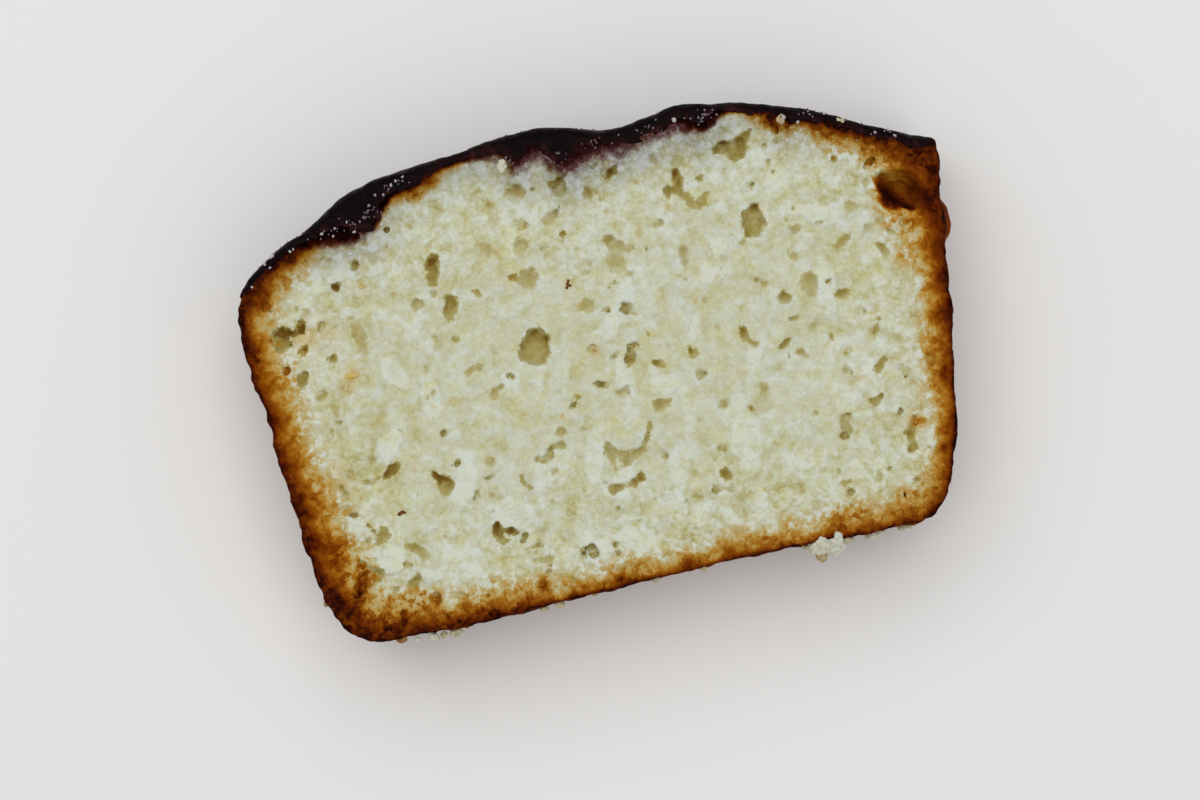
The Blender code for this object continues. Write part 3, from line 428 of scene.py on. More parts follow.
# Bubbles at random places: how many, radii, lift by radius, level and how tan their insides are painted as
# shade
RANDOM_BUBBLES = (
    (12, (0.3, 0.45), (0.5, 0.8), THICKNESS, 0.7),
    (75, (0.5, 1.0), (0.95, 1.05), THICKNESS, 0.42),
    (70, (0.6, 2.2), (-0.35, 0.25), 0.0, 0.0),
    (120, (0.5, 0.9), (-0.3, 0.3), 0.0, 0.0),
)
RELIEF_PASSES = 3
MIDDLE_LOOSENESS = 0.60
EXTRA_LOOSENESS = 0.72
MOIST_DEPTH = 21.0

# Tan haze, and with a negative shade whitish clumps that stand proud and are made paler as painted light:
# place, length, width, turn in degrees and shade
Haze = namedtuple("Haze", "x y long short turn shade")
HAZES = [Haze(*row) for row in (
    (-36.4, 25.5, 9.6, 4.8, 150, 0.45), (-33.7, 45.9, 5.8, 5.3, 97, 0.40),
    (-26.1, 21.2, 5.2, 4.2, 66, 0.35), (24.0, 22.8, 4.8, 2.9, 53, 0.45), (34.7, 38.5, 5.7, 2.5, 74, 0.25),
    (15.3, 17.9, 5.7, 3.2, 111, 0.32), (-36.0, 39.2, 7.8, 2.9, 37, 0.35), (-34.6, 30.9, 4.5, 3.1, 65, 0.42),
    (24.0, 11.4, 6.4, 2.5, 62, 0.40), (-32.0, 12.4, 5.2, 2.7, 76, 0.35), (-28.8, 28.9, 4.8, 2.3, 113, 0.34),
    (7.1, 3.2, 5.7, 2.4, 39, 0.3), (17.4, 47.7, 5.2, 2.0, 73, 0.25), (-13.9, 17.7, 5.9, 1.7, 113, 0.3),
    (-12.8, 56.2, 5.1, 1.9, 98, 0.34), (25.5, 16.4, 3.3, 2.1, 25, 0.45), (41.4, 44.1, 4.5, 1.6, 33, 0.25),
    (43.1, 24.3, 3.4, 2.0, 52, 0.3), (-28.4, 42.1, 3.9, 1.7, 107, 0.38), (-12.0, 27.7, 3.2, 1.6, 3, 0.38),
    (38.4, 27.1, 3.9, 1.4, 61, 0.34), (-3.4, 29.9, 2.5, 1.9, 140, 0.4), (-27.7, 33.4, 2.9, 1.6, 66, 0.4),
    (39.6, 57.4, 2.7, 1.7, 93, 0.42), (35.7, 16.4, 2.8, 1.6, 67, 0.34), (43.6, 29.7, 2.4, 1.8, 56, 0.42),
    (18.1, 20.4, 2.8, 1.7, 134, 0.25), (17.8, 24.4, 2.8, 1.5, 117, 0.3), (27.7, 40.9, 2.1, 1.8, 148, 0.38),
    (29.6, 31.3, 2.4, 2.2, 148, 0.34), (24.4, 37.7, 2.4, 1.5, 38, 0.34), (34.5, 33.1, 2.8, 1.5, 56, 0.28),
    (-32.1, 35.1, 2.7, 1.2, 32, 0.28), (37.0, 30.7, 1.9, 1.5, 97, 0.36), (-20.8, 29.4, 3.2, 1.0, 149, 0.25),
    (-16.7, 24.4, 2.0, 1.5, 56, 0.3), (40.0, 51.4, 2.9, 1.0, 102, 0.3), (-5.6, 15.9, 3.9, 1.0, 77, 0.28),
    (-42.2, 31.7, 2.5, 1.4, 76, 0.42), (-33.1, 28.3, 6.1, 3.4, 44, -0.5), (-4.6, 5.1, 6.9, 3.7, 121, -0.4),
    (0.1, 12.4, 3.1, 2.2, 57, -0.4), (0.9, 16.3, 3.4, 1.7, 17, -0.4), (4.5, 31.2, 4.9, 3.1, 92, -0.35),
    (36.1, 45.4, 4.6, 2.3, 38, -0.35), (-10.6, 19.4, 6.8, 3.8, 55, -0.3), (41.1, 23.8, 8.0, 3.6, 108, -0.3),
    (39.1, 48.9, 8.0, 3.4, 157, -0.35), (37.7, 38.8, 10.0, 3.2, 86, -0.3),
    (20.7, 17.1, 10.0, 4.5, 87, -0.32), (-2.7, 19.9, 9.0, 3.0, 76, -0.3), (9.5, 14.8, 9.0, 3.2, 75, -0.3),
    (-23.5, 21.3, 9.0, 4.6, 72, -0.35), (-16.4, 14.4, 8.0, 4.8, 162, -0.35),
    (1.5, 6.1, 8.0, 4.2, 145, -0.35), (-41.0, 17.0, 3.6, 3.0, 60, -0.6), (-36.4, 11.2, 4.8, 4.4, 120, -0.7),
    (-30.4, 7.6, 4.4, 2.6, 10, -0.5), (-8.5, 34.0, 3.4, 2.2, 20, -0.3), (36.8, 28.5, 6.0, 2.4, 42, -0.3),
    (24.3, 29.8, 5.0, 2.2, 79, -0.3), (10.2, 28.6, 4.4, 3.0, 176, -0.3), (16.9, 36.3, 4.0, 2.4, 56, -0.3),
    (48.4, 12.0, 3.2, 3.0, 60, -0.6), (36.7, 19.9, 5.0, 2.4, 5, -0.3), (20.4, 43.9, 3.7, 2.6, 47, -0.3),
    (-25.5, 34.6, 5.6, 3.0, 88, -0.3), (3.2, 38.4, 5.6, 2.6, 27, -0.3), (7.4, 43.2, 5.0, 2.6, 71, -0.3),
    (-30.0, 39.0, 5.0, 2.4, 120, -0.35), (-26.0, 45.0, 5.0, 2.6, 60, -0.3),
    (-10.0, 45.0, 6.0, 2.6, 20, -0.25), (-13.0, 34.0, 4.4, 2.4, 80, -0.25),
    (24.6, 57.6, 3.6, 2.2, 110, -0.35), (33.6, 55.8, 5.4, 3.0, 60, -0.35),
    (42.4, 54.2, 4.4, 2.4, 150, -0.35), (22.6, 47.0, 3.6, 2.2, 100, -0.3),
    (-37.0, 55.6, 5.0, 2.6, 30, -0.3),
)]
RISE = 0.65
HAZE_EDGE = 1.2
CLUMP_EDGE = 0.5
EDGE_REACH = 1.0


def ring_distance(x, y, ring):
    """Distance from every place of a flat grid to a closed ring, negative inside."""
    px, py = np.meshgrid(x, y, indexing="ij")
    near = np.full(px.shape, 1e9, np.float32)
    inside = np.zeros(px.shape, bool)
    for (ax, ay), (bx, by) in zip(ring, ring[1:] + ring[:1]):
        dx, dy = bx - ax, by - ay
        t = np.clip(((px - ax) * dx + (py - ay) * dy) / (dx * dx + dy * dy), 0, 1)
        near = np.minimum(near, (px - ax - t * dx) ** 2 + (py - ay - t * dy) ** 2)
        if ay != by:
            inside ^= ((ay > py) != (by > py)) & (px < (py - ay) * dx / dy + ax)
    near = np.sqrt(near)
    return np.where(inside, -near, near)


def smooth_max(a, b, reach):
    """The larger of two fields, rounded over the reach where they cross."""
    near = np.clip(1 - np.abs(a - b) / reach, 0, 1)
    return np.maximum(a, b) + near * near * reach / 4


def shifted(cells, move):
    """The grid indices of cells, moved by a step along each axis."""
    return tuple(line + step for line, step in zip(cells, move))


def turned(across, upward, degrees):
    """The same offsets measured along a direction and to its left."""
    c, s = math.cos(math.radians(degrees)), math.sin(math.radians(degrees))
    return across * c + upward * s, -across * s + upward * c


def looseness(wall):
    """How crumbly the cut face is: more so towards the crust than in the moist middle."""
    return MIDDLE_LOOSENESS + EXTRA_LOOSENESS * np.clip(1 + wall / MOIST_DEPTH, 0, 1)


class Field:
    """A piece's surface as the zero level of a field on a grid that is negative inside it."""

    def __init__(self, x, y, z, seed):
        self.axes = [np.asarray(axis, np.float32) for axis in (x, y, z)]
        self.x, self.y, self.z = self.axes
        self.level = self.z[None, None, :]
        self.shape = tuple(len(axis) for axis in self.axes)
        self.draw = np.random.default_rng(seed)

    def granules(self, size, lowest=None):
        """Rounded lumps about the size with creases between them, and a number from -1 to 1 for each."""
        first = 0 if lowest is None else int(np.searchsorted(self.z, lowest))
        lines = [(axis - axis[0]) / size for axis in (self.x, self.y, self.z[first:])]
        cells = [line.astype(int) for line in lines]
        jitter = self.draw.random([cell[-1] + 3 for cell in cells] + [4]).astype(np.float32)
        nearest = np.full([len(line) for line in lines], 9.0, np.float32)
        number = np.zeros(nearest.shape, np.float32)
        for step in np.ndindex(3, 3, 3):
            points = jitter[np.ix_(*(cell + move for cell, move in zip(cells, step)))]
            away = 0
            for axis in range(3):
                shape = [1, 1, 1]
                shape[axis] = -1
                middle = (cells[axis] + step[axis] - 1 - lines[axis]).reshape(shape)
                away = away + (points[..., axis] + middle) ** 2
            closer = away < nearest
            nearest[closer] = away[closer]
            number[closer] = points[..., 3][closer]
        fade = np.ones(nearest.shape[2], np.float32)
        if lowest is not None:
            fade = np.clip(np.arange(nearest.shape[2]) / FADE_LAYERS, 0, 1).astype(np.float32)
        lumps, numbers = np.zeros((2, *self.shape), np.float32)
        lumps[:, :, first:] = (nearest - USUAL_CLOSENESS) * fade
        numbers[:, :, first:] = (2 * number - 1) * fade
        return lumps, numbers

    def grains(self, size):
        """Smooth noise from about -1 to 1 with lumps of about the size."""
        weights = []
        for axis in self.axes:
            places = (axis - axis[0]) / size
            whole = np.floor(places).astype(int)
            t = places - whole
            matrix = np.zeros((len(axis), int(places[-1]) + 4), np.float32)
            rows = np.arange(len(axis))
            matrix[rows, whole] += (1 - t) ** 3 / 6
            matrix[rows, whole + 1] += (3 * t**3 - 6 * t**2 + 4) / 6
            matrix[rows, whole + 2] += (-3 * t**3 + 3 * t**2 + 3 * t + 1) / 6
            matrix[rows, whole + 3] += t**3 / 6
            weights.append(matrix)
        lattice = self.draw.uniform(-1, 1, [matrix.shape[1] for matrix in weights]).astype(np.float32)
        lattice = np.tensordot(weights[0], lattice, (1, 0))
        lattice = np.tensordot(lattice, weights[1], (1, 1))
        lattice = np.tensordot(lattice, weights[2], (1, 1))
        return lattice * LATTICE_GAIN

    def wall_distance(self, inset=None):
        """Distance from the crust's wall, negative inside, or from another wall with its own inset."""
        levels = []
        for z in WALL_LEVELS:
            ring = [crust_wall(s, z, inset) for s in STATIONS]
            levels.append(ring_distance(self.x, self.y, ring))
        wall = np.empty(self.shape, np.float32)
        for k, z in enumerate(self.z):
            above = int(np.clip(np.searchsorted(WALL_LEVELS, z), 1, len(WALL_LEVELS) - 1))
            low, high = WALL_LEVELS[above - 1], WALL_LEVELS[above]
            share = float(np.clip((z - low) / (high - low), 0, 1))
            wall[:, :, k] = levels[above - 1] * (1 - share) + levels[above] * share
        return wall

    def cut_surface(self):
        """The cut face's level in every column, from a coarser grid."""
        coarse_x = self.x[::CUT_STEP]
        coarse_y = self.y[::CUT_STEP]
        coarse = np.array([[cut_level(float(x), float(y)) for y in coarse_y] for x in coarse_x])
        along = np.array([np.interp(self.x, coarse_x, row) for row in coarse.T])
        return np.array([np.interp(self.y, coarse_y, row) for row in along.T]).astype(np.float32)

    def mesh_data(self):
        """Points and quads of the zero level, one point in each cell that it crosses."""
        inside = self.field < 0
        corners = np.zeros(tuple(n - 1 for n in self.shape), np.int8)
        for a, b, c in np.ndindex(2, 2, 2):
            corners += inside[tuple(slice(step, n - 1 + step) for step, n in zip((a, b, c), self.shape))]
        crossed = (corners > 0) & (corners < 8)
        cells = np.nonzero(crossed)
        number = np.full(crossed.shape, -1, np.int64)
        number[cells] = np.arange(len(cells[0]))
        return self.crossings(cells), self.crossed_faces(inside, number)

    def crossings(self, cells):
        """A point in each cell, the middle of where the zero level crosses its edges."""
        count = len(cells[0])
        place = np.zeros((count, 3), np.float64)
        hits = np.zeros(count)
        for start in np.ndindex(2, 2, 2):
            for axis in range(3):
                if start[axis]:
                    continue
                end = list(start)
                end[axis] = 1
                a, b = self.field[shifted(cells, start)], self.field[shifted(cells, end)]
                cuts = (a < 0) != (b < 0)
                t = np.where(cuts, a / np.where(cuts, a - b, 1), 0)
                point = np.tile(np.array(start, float), (count, 1))
                point[:, axis] = t
                place[cuts] += point[cuts]
                hits += cuts
        place /= hits[:, None]
        points = np.empty_like(place)
        for axis, (index, line) in enumerate(zip(cells, self.axes)):
            points[:, axis] = line[index] + place[:, axis] * (line[index + 1] - line[index])
        return points

    def crossed_faces(self, inside, number):
        """A quad across each grid edge that the zero level crosses, facing out of the inside."""
        quads = []
        for axis in range(3):
            one = [slice(1, -1)] * 3
            one[axis] = slice(0, -1)
            two = list(one)
            two[axis] = slice(1, None)
            here, there = inside[tuple(one)], inside[tuple(two)]
            found = np.nonzero(here != there)
            base = [line + 1 for line in found]
            base[axis] = found[axis]
            u, v = np.eye(3, dtype=int)[[(axis + 1) % 3, (axis + 2) % 3]]
            ring = []
            for step in ((1, 1), (0, 1), (0, 0), (1, 0)):
                move = u * step[0] + v * step[1]
                ring.append(number[shifted(base, -move)])
            faces = np.stack(ring, 1)
            leaving = here[found]
            quads += [faces[leaving], faces[~leaving][:, ::-1]]
        return np.concatenate(quads)


class Crumb(Field):
    """The cake: crumb and crust."""

    def __init__(self, seed):
        xs = [s.x for s in STATIONS]
        ys = [s.y for s in STATIONS]
        low = np.arange(-ROOM_BELOW, UNDER_DEPTH, UNDER_CELL)
        middle = np.arange(UNDER_DEPTH, THICKNESS - SHOWN_DEPTH, WALL_CELL)
        high = np.arange(THICKNESS - SHOWN_DEPTH, THICKNESS + ROOM_ABOVE, CELL)
        x = np.arange(min(xs) - MARGIN - ROOM_LEFT, max(xs) + MARGIN + ROOM_RIGHT, CELL)
        y = np.arange(min(ys) - MARGIN, max(ys) + MARGIN, CELL)
        super().__init__(x, y, np.concatenate((low, middle, high)), seed)
        self.finest = self.grains(0.75)
        self.fine = self.grains(1.2)
        self.medium = self.grains(2.6)
        self.wall = self.wall_distance()
        self.top = self.cut_surface()
        columns = self.shape[:2]
        self.tan, self.rise = np.zeros((2, *columns), np.float32)
        # How far the nearest hollow's rim and the nearest pale clump's edge are, negative inside,
        # and how strong the painted shade in each hollow and the painted light on each pale clump is
        self.pit, self.pale = np.full((2, *columns), EDGE_REACH, np.float32)
        self.pit_tan, self.pale_shade = np.zeros((2, *columns), np.float32)
        lowest = THICKNESS - GRANULE_DEPTH
        small, _ = self.granules(1.0, lowest)
        middling, middling_number = self.granules(1.8, lowest)
        large, large_number = self.granules(3.4, lowest)
        lumps = 0.24 * small + 0.18 * middling + 0.14 * large
        steps = 0.07 * middling_number + 0.08 * large_number
        self.clump = 0.6 * middling_number + 0.5 * large_number
        self.grit = small + 0.5 * middling
        for haze in HAZES:
            self.add_haze(haze)
        self.loose = looseness(self.wall)
        rough = self.loose * (self.stirred(..., finest=0.13, fine=0.08, medium=0.05) + lumps + steps)
        self.field = self.stirred(..., self.wall, finest=0.20, fine=0.18, medium=0.04) + 0.42 * lumps
        shown = self.level - self.top[:, :, None] - self.rise[:, :, None] + rough
        self.field = np.maximum(self.field, shown)
        self.field = np.maximum(self.field, 0.06 * self.fine + 0.06 - self.level)

    def stirred(self, part, value=0.0, **weights):
        """A value plus the named noises, each by its weight, over a part of the grid."""
        for name, weight in weights.items():
            value = value + weight * getattr(self, name)[part]
        return value

    def add_haze(self, haze):
        """Lays a soft ragged patch of tan, or a clump that stands a little proud and is made paler as
        painted light.
        """
        reach = 0.75 * haze.long + 0.5
        across, along = self.window(haze.x - reach, haze.y - reach, haze.x + reach, haze.y + reach)
        part = (across, along, int(np.searchsorted(self.z, THICKNESS)))
        u, v = turned((self.x[across] - haze.x)[:, None], (self.y[along] - haze.y)[None, :], haze.turn)
        disc = np.hypot(u / haze.long, v / haze.short) * 2
        past = (disc - 1) * (haze.long + haze.short) / 4
        past = self.stirred(part, past, medium=0.5, fine=0.5, finest=0.35, grit=0.5)
        if haze.shade > 0:
            self.tan[across, along] += haze.shade * np.clip(0.5 - past / HAZE_EDGE, 0, 1)
        else:
            self.rise[across, along] -= RISE * haze.shade * np.clip(0.5 - past / CLUMP_EDGE, 0, 1)
            self.mark(self.pale, self.pale_shade, across, along, past, -haze.shade)

    def mark(self, edge, strength, across, along, past, shade):
        """Notes how far an edge is and the shade behind it, where it is the nearest edge so far."""
        closer = past < edge[across, along]
        edge[across, along] = np.where(closer, past, edge[across, along])
        strength[across, along] = np.where(closer, shade, strength[across, along])

    def window(self, low_x, low_y, high_x, high_y):
        """The grid's columns between two corners, as slices."""
        i = np.searchsorted(self.x, (low_x, high_x))
        j = np.searchsorted(self.y, (low_y, high_y))
        return slice(*i), slice(*j)

    def carve_ball(self, x, y, z, half, turn, tan):
        """Cuts a ragged bubble out of the field, and notes the painted shade inside it where tan is given.
        """
        reach = max(half) * (1 + RAGGEDNESS) + CELL
        deep = half[2] * (1 + RAGGEDNESS) + CELL
        across, along = self.window(x - reach, y - reach, x + reach, y + reach)
        down = slice(*np.searchsorted(self.z, (z - deep, z + deep)))
        part = (across, along, down)
        if not self.field[part].size:
            return
        u, v = turned((self.x[across] - x)[:, None, None], (self.y[along] - y)[None, :, None], turn)
        u, v, w = u / half[0], v / half[1], (self.level[:, :, down] - z) / half[2]
        ball = np.sqrt(u * u + v * v + w * w)
        ball *= 1 + RAGGEDNESS * self.stirred(part, medium=0.4, fine=0.7, finest=0.8, grit=0.9)
        self.field[part] = np.maximum(self.field[part], (1 - ball) * min(half))
        # Painted shade: the bubble's inside is coloured tan
        if tan:
            face = int(np.clip(np.searchsorted(self.z[down], THICKNESS), 0, ball.shape[2] - 1))
            past = (ball[:, :, face] - 0.95) * min(half[:2])
            self.mark(self.pit, self.pit_tan, across, along, past, tan)

    def carve_hollow(self, hollow):
        """Cuts a hollow with a ragged outline, steep walls and a sloping floor."""
        points = np.array(hollow.outline)
        low, high = points.min(0), points.max(0)
        across, along = self.window(*(low - 1), *(high + 1))
        down = slice(int(np.searchsorted(self.z, THICKNESS - 1.6 * hollow.depth - 1)), len(self.z))
        part = (across, along, down)
        flat = ring_distance(self.x[across], self.y[along], hollow.outline) - HOLLOW_GROWTH
        sunk = self.top[across, along, None] - self.level[:, :, down]
        middle = (low + high) / 2
        half = max(high - low) / 2
        dx, dy = self.x[across, None] - middle[0], self.y[None, along] - middle[1]
        slant = np.clip(turned(dx, dy, hollow.deepens)[0] / half, -1, 1)
        deep = hollow.depth if hollow.depth > DEEP_HOLLOW else HOLLOW_SHARE * hollow.depth
        floor = deep * (1 + 0.35 * slant)
        wander = self.stirred(part, fine=0.12, finest=0.20, grit=0.45)
        side = flat[:, :, None] + EDGE_LEAN * np.maximum(sunk, 0) + wander
        bottom = self.stirred(part, sunk - floor[:, :, None], fine=0.15, medium=0.15, grit=0.15)
        cavity = np.maximum(side, bottom) + 0.2 * np.exp(-((side - bottom) ** 2) / 0.4)
        self.field[part] = np.maximum(self.field[part], -cavity)
        face = int(np.searchsorted(self.z[down], THICKNESS))
        past = flat + wander[:, :, face] - 0.05
        # Painted shade: the hollow's inside is coloured tan, more towards its deeper side
        self.mark(self.pit, self.pit_tan, across, along, past, hollow.tan * (1 + 0.15 * slant))

    def carve_all(self):
        for hollow in HOLLOWS:
            self.carve_hollow(hollow)
        for dent in DENTS:
            level = cut_level(dent.x, dent.y) + DENT_LIFT
            half = (0.56 * dent.long, 0.56 * dent.short, 0.5 * dent.depth + 0.12)
            self.carve_ball(dent.x, dent.y, level, half, dent.turn, dent.tan)
        for bubbles in RANDOM_BUBBLES:
            self.scatter(*bubbles)

    def scatter(self, count, radii, lift, level, tan):
        """Bubbles at random places; lift is how far out of the cut a bubble's middle lies."""
        outward = 1.0 if level > 0 else -1.0
        for _ in range(count):
            x = self.draw.uniform(self.x[0], self.x[-1])
            y = self.draw.uniform(self.y[0], self.y[-1])
            radius = radii[0] + (radii[1] - radii[0]) * self.draw.random() ** 2.2
            stretch = self.draw.uniform(0.5, 1.0)
            turn = self.draw.uniform(0, 180)
            z = level + outward * radius * self.draw.uniform(*lift)
            self.carve_ball(x, y, z, (radius, radius * stretch, radius), turn, tan)

    def relief(self):
        """How high the shown face is in each column, smoothed over about a millimetre and a half."""
        solid = self.field < 0
        last = len(self.z) - 1 - np.argmax(solid[:, :, ::-1], axis=2)
        height = np.where(solid.any(2), self.z[last], self.top)
        for _ in range(RELIEF_PASSES):
            for axis in (0, 1):
                ahead = np.roll(height, 2, axis) + np.roll(height, 1, axis)
                behind = np.roll(height, -2, axis) + np.roll(height, -1, axis)
                height = (height + ahead + behind) / 5
        return height


class Glaze(Field):
    """The fruit glaze: what lies between the cake's wall and the outline, along the dome."""

    def __init__(self, seed):
        glazed = [s for s in STATIONS if s.inset > 0]
        xs = [s.x for s in glazed]
        ys = [s.y - s.inset for s in glazed]
        x = np.arange(min(xs) - GLAZE_ROOM, max(xs) + GLAZE_ROOM, GLAZE_CELL)
        y = np.arange(min(ys) - GLAZE_ROOM, max(s.y for s in glazed) + ROOM_ABOVE, GLAZE_CELL)
        low = np.arange(-GLAZE_ROOM_BELOW, THICKNESS - GLAZE_SHOWN_DEPTH, WALL_CELL)
        high = np.arange(THICKNESS - GLAZE_SHOWN_DEPTH, THICKNESS + GLAZE_ROOM_ABOVE, GLAZE_CELL)
        super().__init__(x, y, np.concatenate((low, high)), seed)
        columns = np.stack(np.meshgrid(self.x, self.y, indexing="ij"), -1).reshape(-1, 2)
        inset = np.array([s.inset for s in STATIONS])[nearest_station(columns)]
        inset = inset.reshape(self.shape[:2] + (1,))
        finest = self.grains(0.8)
        fine = self.grains(1.4)
        medium = self.grains(3.6)
        lumps, _ = self.granules(1.3)
        self.wall = self.wall_distance()
        outer = self.wall_distance(0.0) + 0.12 * fine + 0.2 * medium + 0.16 * lumps
        there = np.clip((inset - 0.3) / 0.6, 0, 1)
        overlap = 0.65 + 0.35 * medium + 0.3 * fine + 0.15 * finest + 0.4 * lumps
        overlap = overlap * there - 0.7 * (1 - there)
        cut = self.cut_surface()[:, :, None] + 0.02 + 0.10 * medium
        top = self.level - cut + 0.10 * finest + 0.10 * fine + 0.22 * lumps
        self.field = smooth_max(outer, top, np.clip(1.5 * inset, 0.3, 2.6))
        self.field = np.maximum(self.field, -(self.wall + overlap))
        self.field = smooth_max(self.field, GLAZE_LIFT - self.level, 0.8)


class Lump(Field):
    """A small loose piece: balls run together, with a crumbly surface."""

    def __init__(self, balls, cell, rough, seed):
        balls = np.array(balls)
        margin = 4 * cell + 2 * rough
        low = (balls[:, :3] - balls[:, 3:]).min(0) - margin
        high = (balls[:, :3] + balls[:, 3:]).max(0) + margin
        super().__init__(*(np.arange(low[k], high[k], cell) for k in range(3)), seed)
        self.field = np.full(self.shape, 9.0, np.float32)
        for x, y, z, radius in balls:
            dx, dy, dz = (self.x - x)[:, None, None], (self.y - y)[None, :, None], self.level - z
            away = np.sqrt(dx * dx + dy * dy + dz * dz) - radius
            self.field = -smooth_max(-self.field, -away, 0.7 * radius)
        lumps, _ = self.granules(0.8)
        self.field = self.field + rough * (1.1 * lumps + 0.5 * self.grains(0.9) + 0.35 * self.grains(0.45))


def keep_largest(points, quads):
    """Drops loose islands of crumb."""
    label = np.arange(len(points))
    while True:
        least = label[quads].min(1)
        new = label.copy()
        for corner in range(4):
            np.minimum.at(new, quads[:, corner], least)
        new = new[new]
        if (new == label).all():
            break
        label = new
    biggest = np.bincount(label).argmax()
    keep = label == biggest
    renumber = np.cumsum(keep) - 1
    return points[keep], renumber[quads[keep[quads].all(1)]]


def joined(parts):
    """One set of points and faces from several."""
    starts = np.cumsum([0] + [len(points) for points, _ in parts])
    faces = [part_faces + start for (_, part_faces), start in zip(parts, starts)]
    return np.concatenate([points for points, _ in parts]), np.concatenate(faces)


def put(name, data):
    """A new object in the scene."""
    obj = bpy.data.objects.new(name, data)
    bpy.context.scene.collection.objects.link(obj)
    return obj


def mesh_object(name, points, faces, material, smooth=True):
    """A piece from points in millimetres in the slice's own measures."""
    mesh = bpy.data.meshes.new(name)
    mesh.vertices.add(len(points))
    mesh.vertices.foreach_set("co", ((points + SHIFT) * MM).astype(np.float32).ravel())
    mesh.loops.add(faces.size)
    mesh.loops.foreach_set("vertex_index", faces.astype(np.int32).ravel())
    mesh.polygons.add(len(faces))
    mesh.polygons.foreach_set("loop_start", np.arange(0, faces.size, faces.shape[1], dtype=np.int32))
    mesh.update(calc_edges=True)
    mesh.validate()
    if smooth:
        mesh.shade_smooth()
    mesh.materials.append(material)
    return put(name, mesh)


def thin_out(obj, chosen, target):
    """Collapses edges among the chosen points until those points' share of triangles is on target."""
    mesh = obj.data
    mesh.calc_loop_triangles()
    corners = np.empty(len(mesh.loop_triangles) * 3, np.int32)
    mesh.loop_triangles.foreach_get("vertices", corners)
    among = int(chosen[corners.reshape(-1, 3)].all(1).sum())
    total = len(mesh.loop_triangles)
    group = obj.vertex_groups.new(name="thin_out")
    group.add(np.nonzero(chosen)[0].tolist(), 1.0, "REPLACE")
    modifier = obj.modifiers.new("thin_out", "DECIMATE")
    modifier.ratio = min(1.0, (total - among + target) / total)
    modifier.vertex_group = group.name
    bpy.context.view_layer.update()
    graph = bpy.context.evaluated_depsgraph_get()
    thin = bpy.data.meshes.new_from_object(obj.evaluated_get(graph))
    obj.modifiers.clear()
    obj.vertex_groups.clear()
    obj.data = thin
    bpy.data.meshes.remove(mesh)
    thin.shade_smooth()


def points_of(obj):
    co = np.empty(len(obj.data.vertices) * 3, np.float32)
    obj.data.vertices.foreach_get("co", co)
    return co.reshape(-1, 3) / MM - SHIFT


def add_attribute(obj, name, values):
    attribute = obj.data.attributes.new(name, "FLOAT", "POINT")
    attribute.data.foreach_set("value", np.clip(values, 0, 1).astype(np.float32))


def sample(field, grid, points):
    """Values of a grid array at points, by trilinear interpolation."""
    if grid.ndim == 2:
        grid = np.repeat(grid[:, :, None], len(field.z), 2)
    index = []
    share = []
    for axis, line in enumerate(field.axes):
        at = np.clip(np.searchsorted(line, points[:, axis]) - 1, 0, len(line) - 2)
        index.append(at)
        share.append(np.clip((points[:, axis] - line[at]) / (line[at + 1] - line[at]), 0, 1))
    total = 0
    for a, b, c in np.ndindex(2, 2, 2):
        weight = (share[0] if a else 1 - share[0]) * (share[1] if b else 1 - share[1])
        weight = weight * (share[2] if c else 1 - share[2])
        total = total + weight * grid[index[0] + a, index[1] + b, index[2] + c]
    return total


# Browning by place along the outline: the millimetres it fades over, how strong and how mottled
BROWNING = (
    (-40.0, -0.9, 4.2, 1.18, 1.1), (-33.0, -1.1, 3.2, 1.16, 1.1), (-26.0, -1.3, 3.0, 1.06, 1.05),
    (-18.0, -1.1, 2.7, 1.04, 1.0), (-8.0, -0.7, 2.6, 0.90, 1.0), (2.0, -0.4, 2.3, 0.80, 1.0),
    (12.0, -0.2, 2.4, 0.70, 1.0), (22.0, -0.1, 2.3, 0.78, 1.0), (30.0, -0.3, 2.8, 0.86, 1.0),
    (40.0, -0.5, 2.8, 0.95, 1.0), (46.0, 0.4, 3.3, 0.95, 0.9), (50.5, 6.0, 3.0, 0.88, 0.8),
    (53.0, 14.0, 3.1, 0.84, 0.8), (54.7, 24.0, 2.9, 0.92, 0.8), (56.0, 33.0, 3.3, 0.95, 0.75),
    (57.0, 40.0, 3.4, 1.04, 0.75), (57.9, 47.0, 5.6, 1.20, 0.85), (59.1, 56.7, 5.2, 1.34, 0.85),
    (55.0, 59.0, 3.9, 1.2, 1.15), (50.0, 60.7, 2.7, 1.16, 1.2), (44.0, 64.0, 2.2, 1.14, 1.2),
    (40.0, 65.6, 1.8, 1.05, 1.1), (34.0, 67.6, 1.3, 0.85, 1.0), (29.0, 69.0, 1.0, 0.7, 1.0),
    (22.0, 70.0, 0.8, 0.9, 0.8), (18.0, 70.2, 0.3, 0.3, 0.8), (10.5, 68.9, 0.3, 0.2, 0.8),
    (0.0, 71.3, 0.3, 0.2, 0.8), (-5.0, 71.5, 0.5, 0.4, 0.8), (-9.0, 71.2, 0.8, 0.95, 0.8),
    (-14.0, 70.6, 1.0, 1.05, 0.8), (-18.0, 70.0, 1.2, 1.12, 0.8), (-22.0, 69.5, 1.4, 1.2, 0.8),
    (-26.0, 69.2, 1.1, 1.1, 0.8), (-30.0, 68.4, 0.4, 1.0, 0.8), (-36.0, 65.4, 0.8, 1.0, 0.8),
    (-39.5, 63.4, 1.9, 1.1, 0.8), (-43.0, 62.0, 2.3, 1.1, 0.8), (-48.0, 59.2, 2.7, 1.1, 0.8),
    (-51.5, 53.6, 3.2, 1.04, 0.7), (-52.0, 46.0, 3.5, 0.96, 0.8), (-51.0, 37.0, 3.6, 0.97, 0.7),
    (-50.2, 26.0, 4.0, 1.0, 0.7), (-49.6, 20.0, 4.3, 1.0, 0.7), (-48.7, 12.0, 4.8, 1.02, 0.8),
    (-46.9, 4.2, 5.2, 1.22, 1.0),
)
BROWNING_POWER = 1.25
BROWNING_CAP = 0.93
WALL_BAKE = 0.62
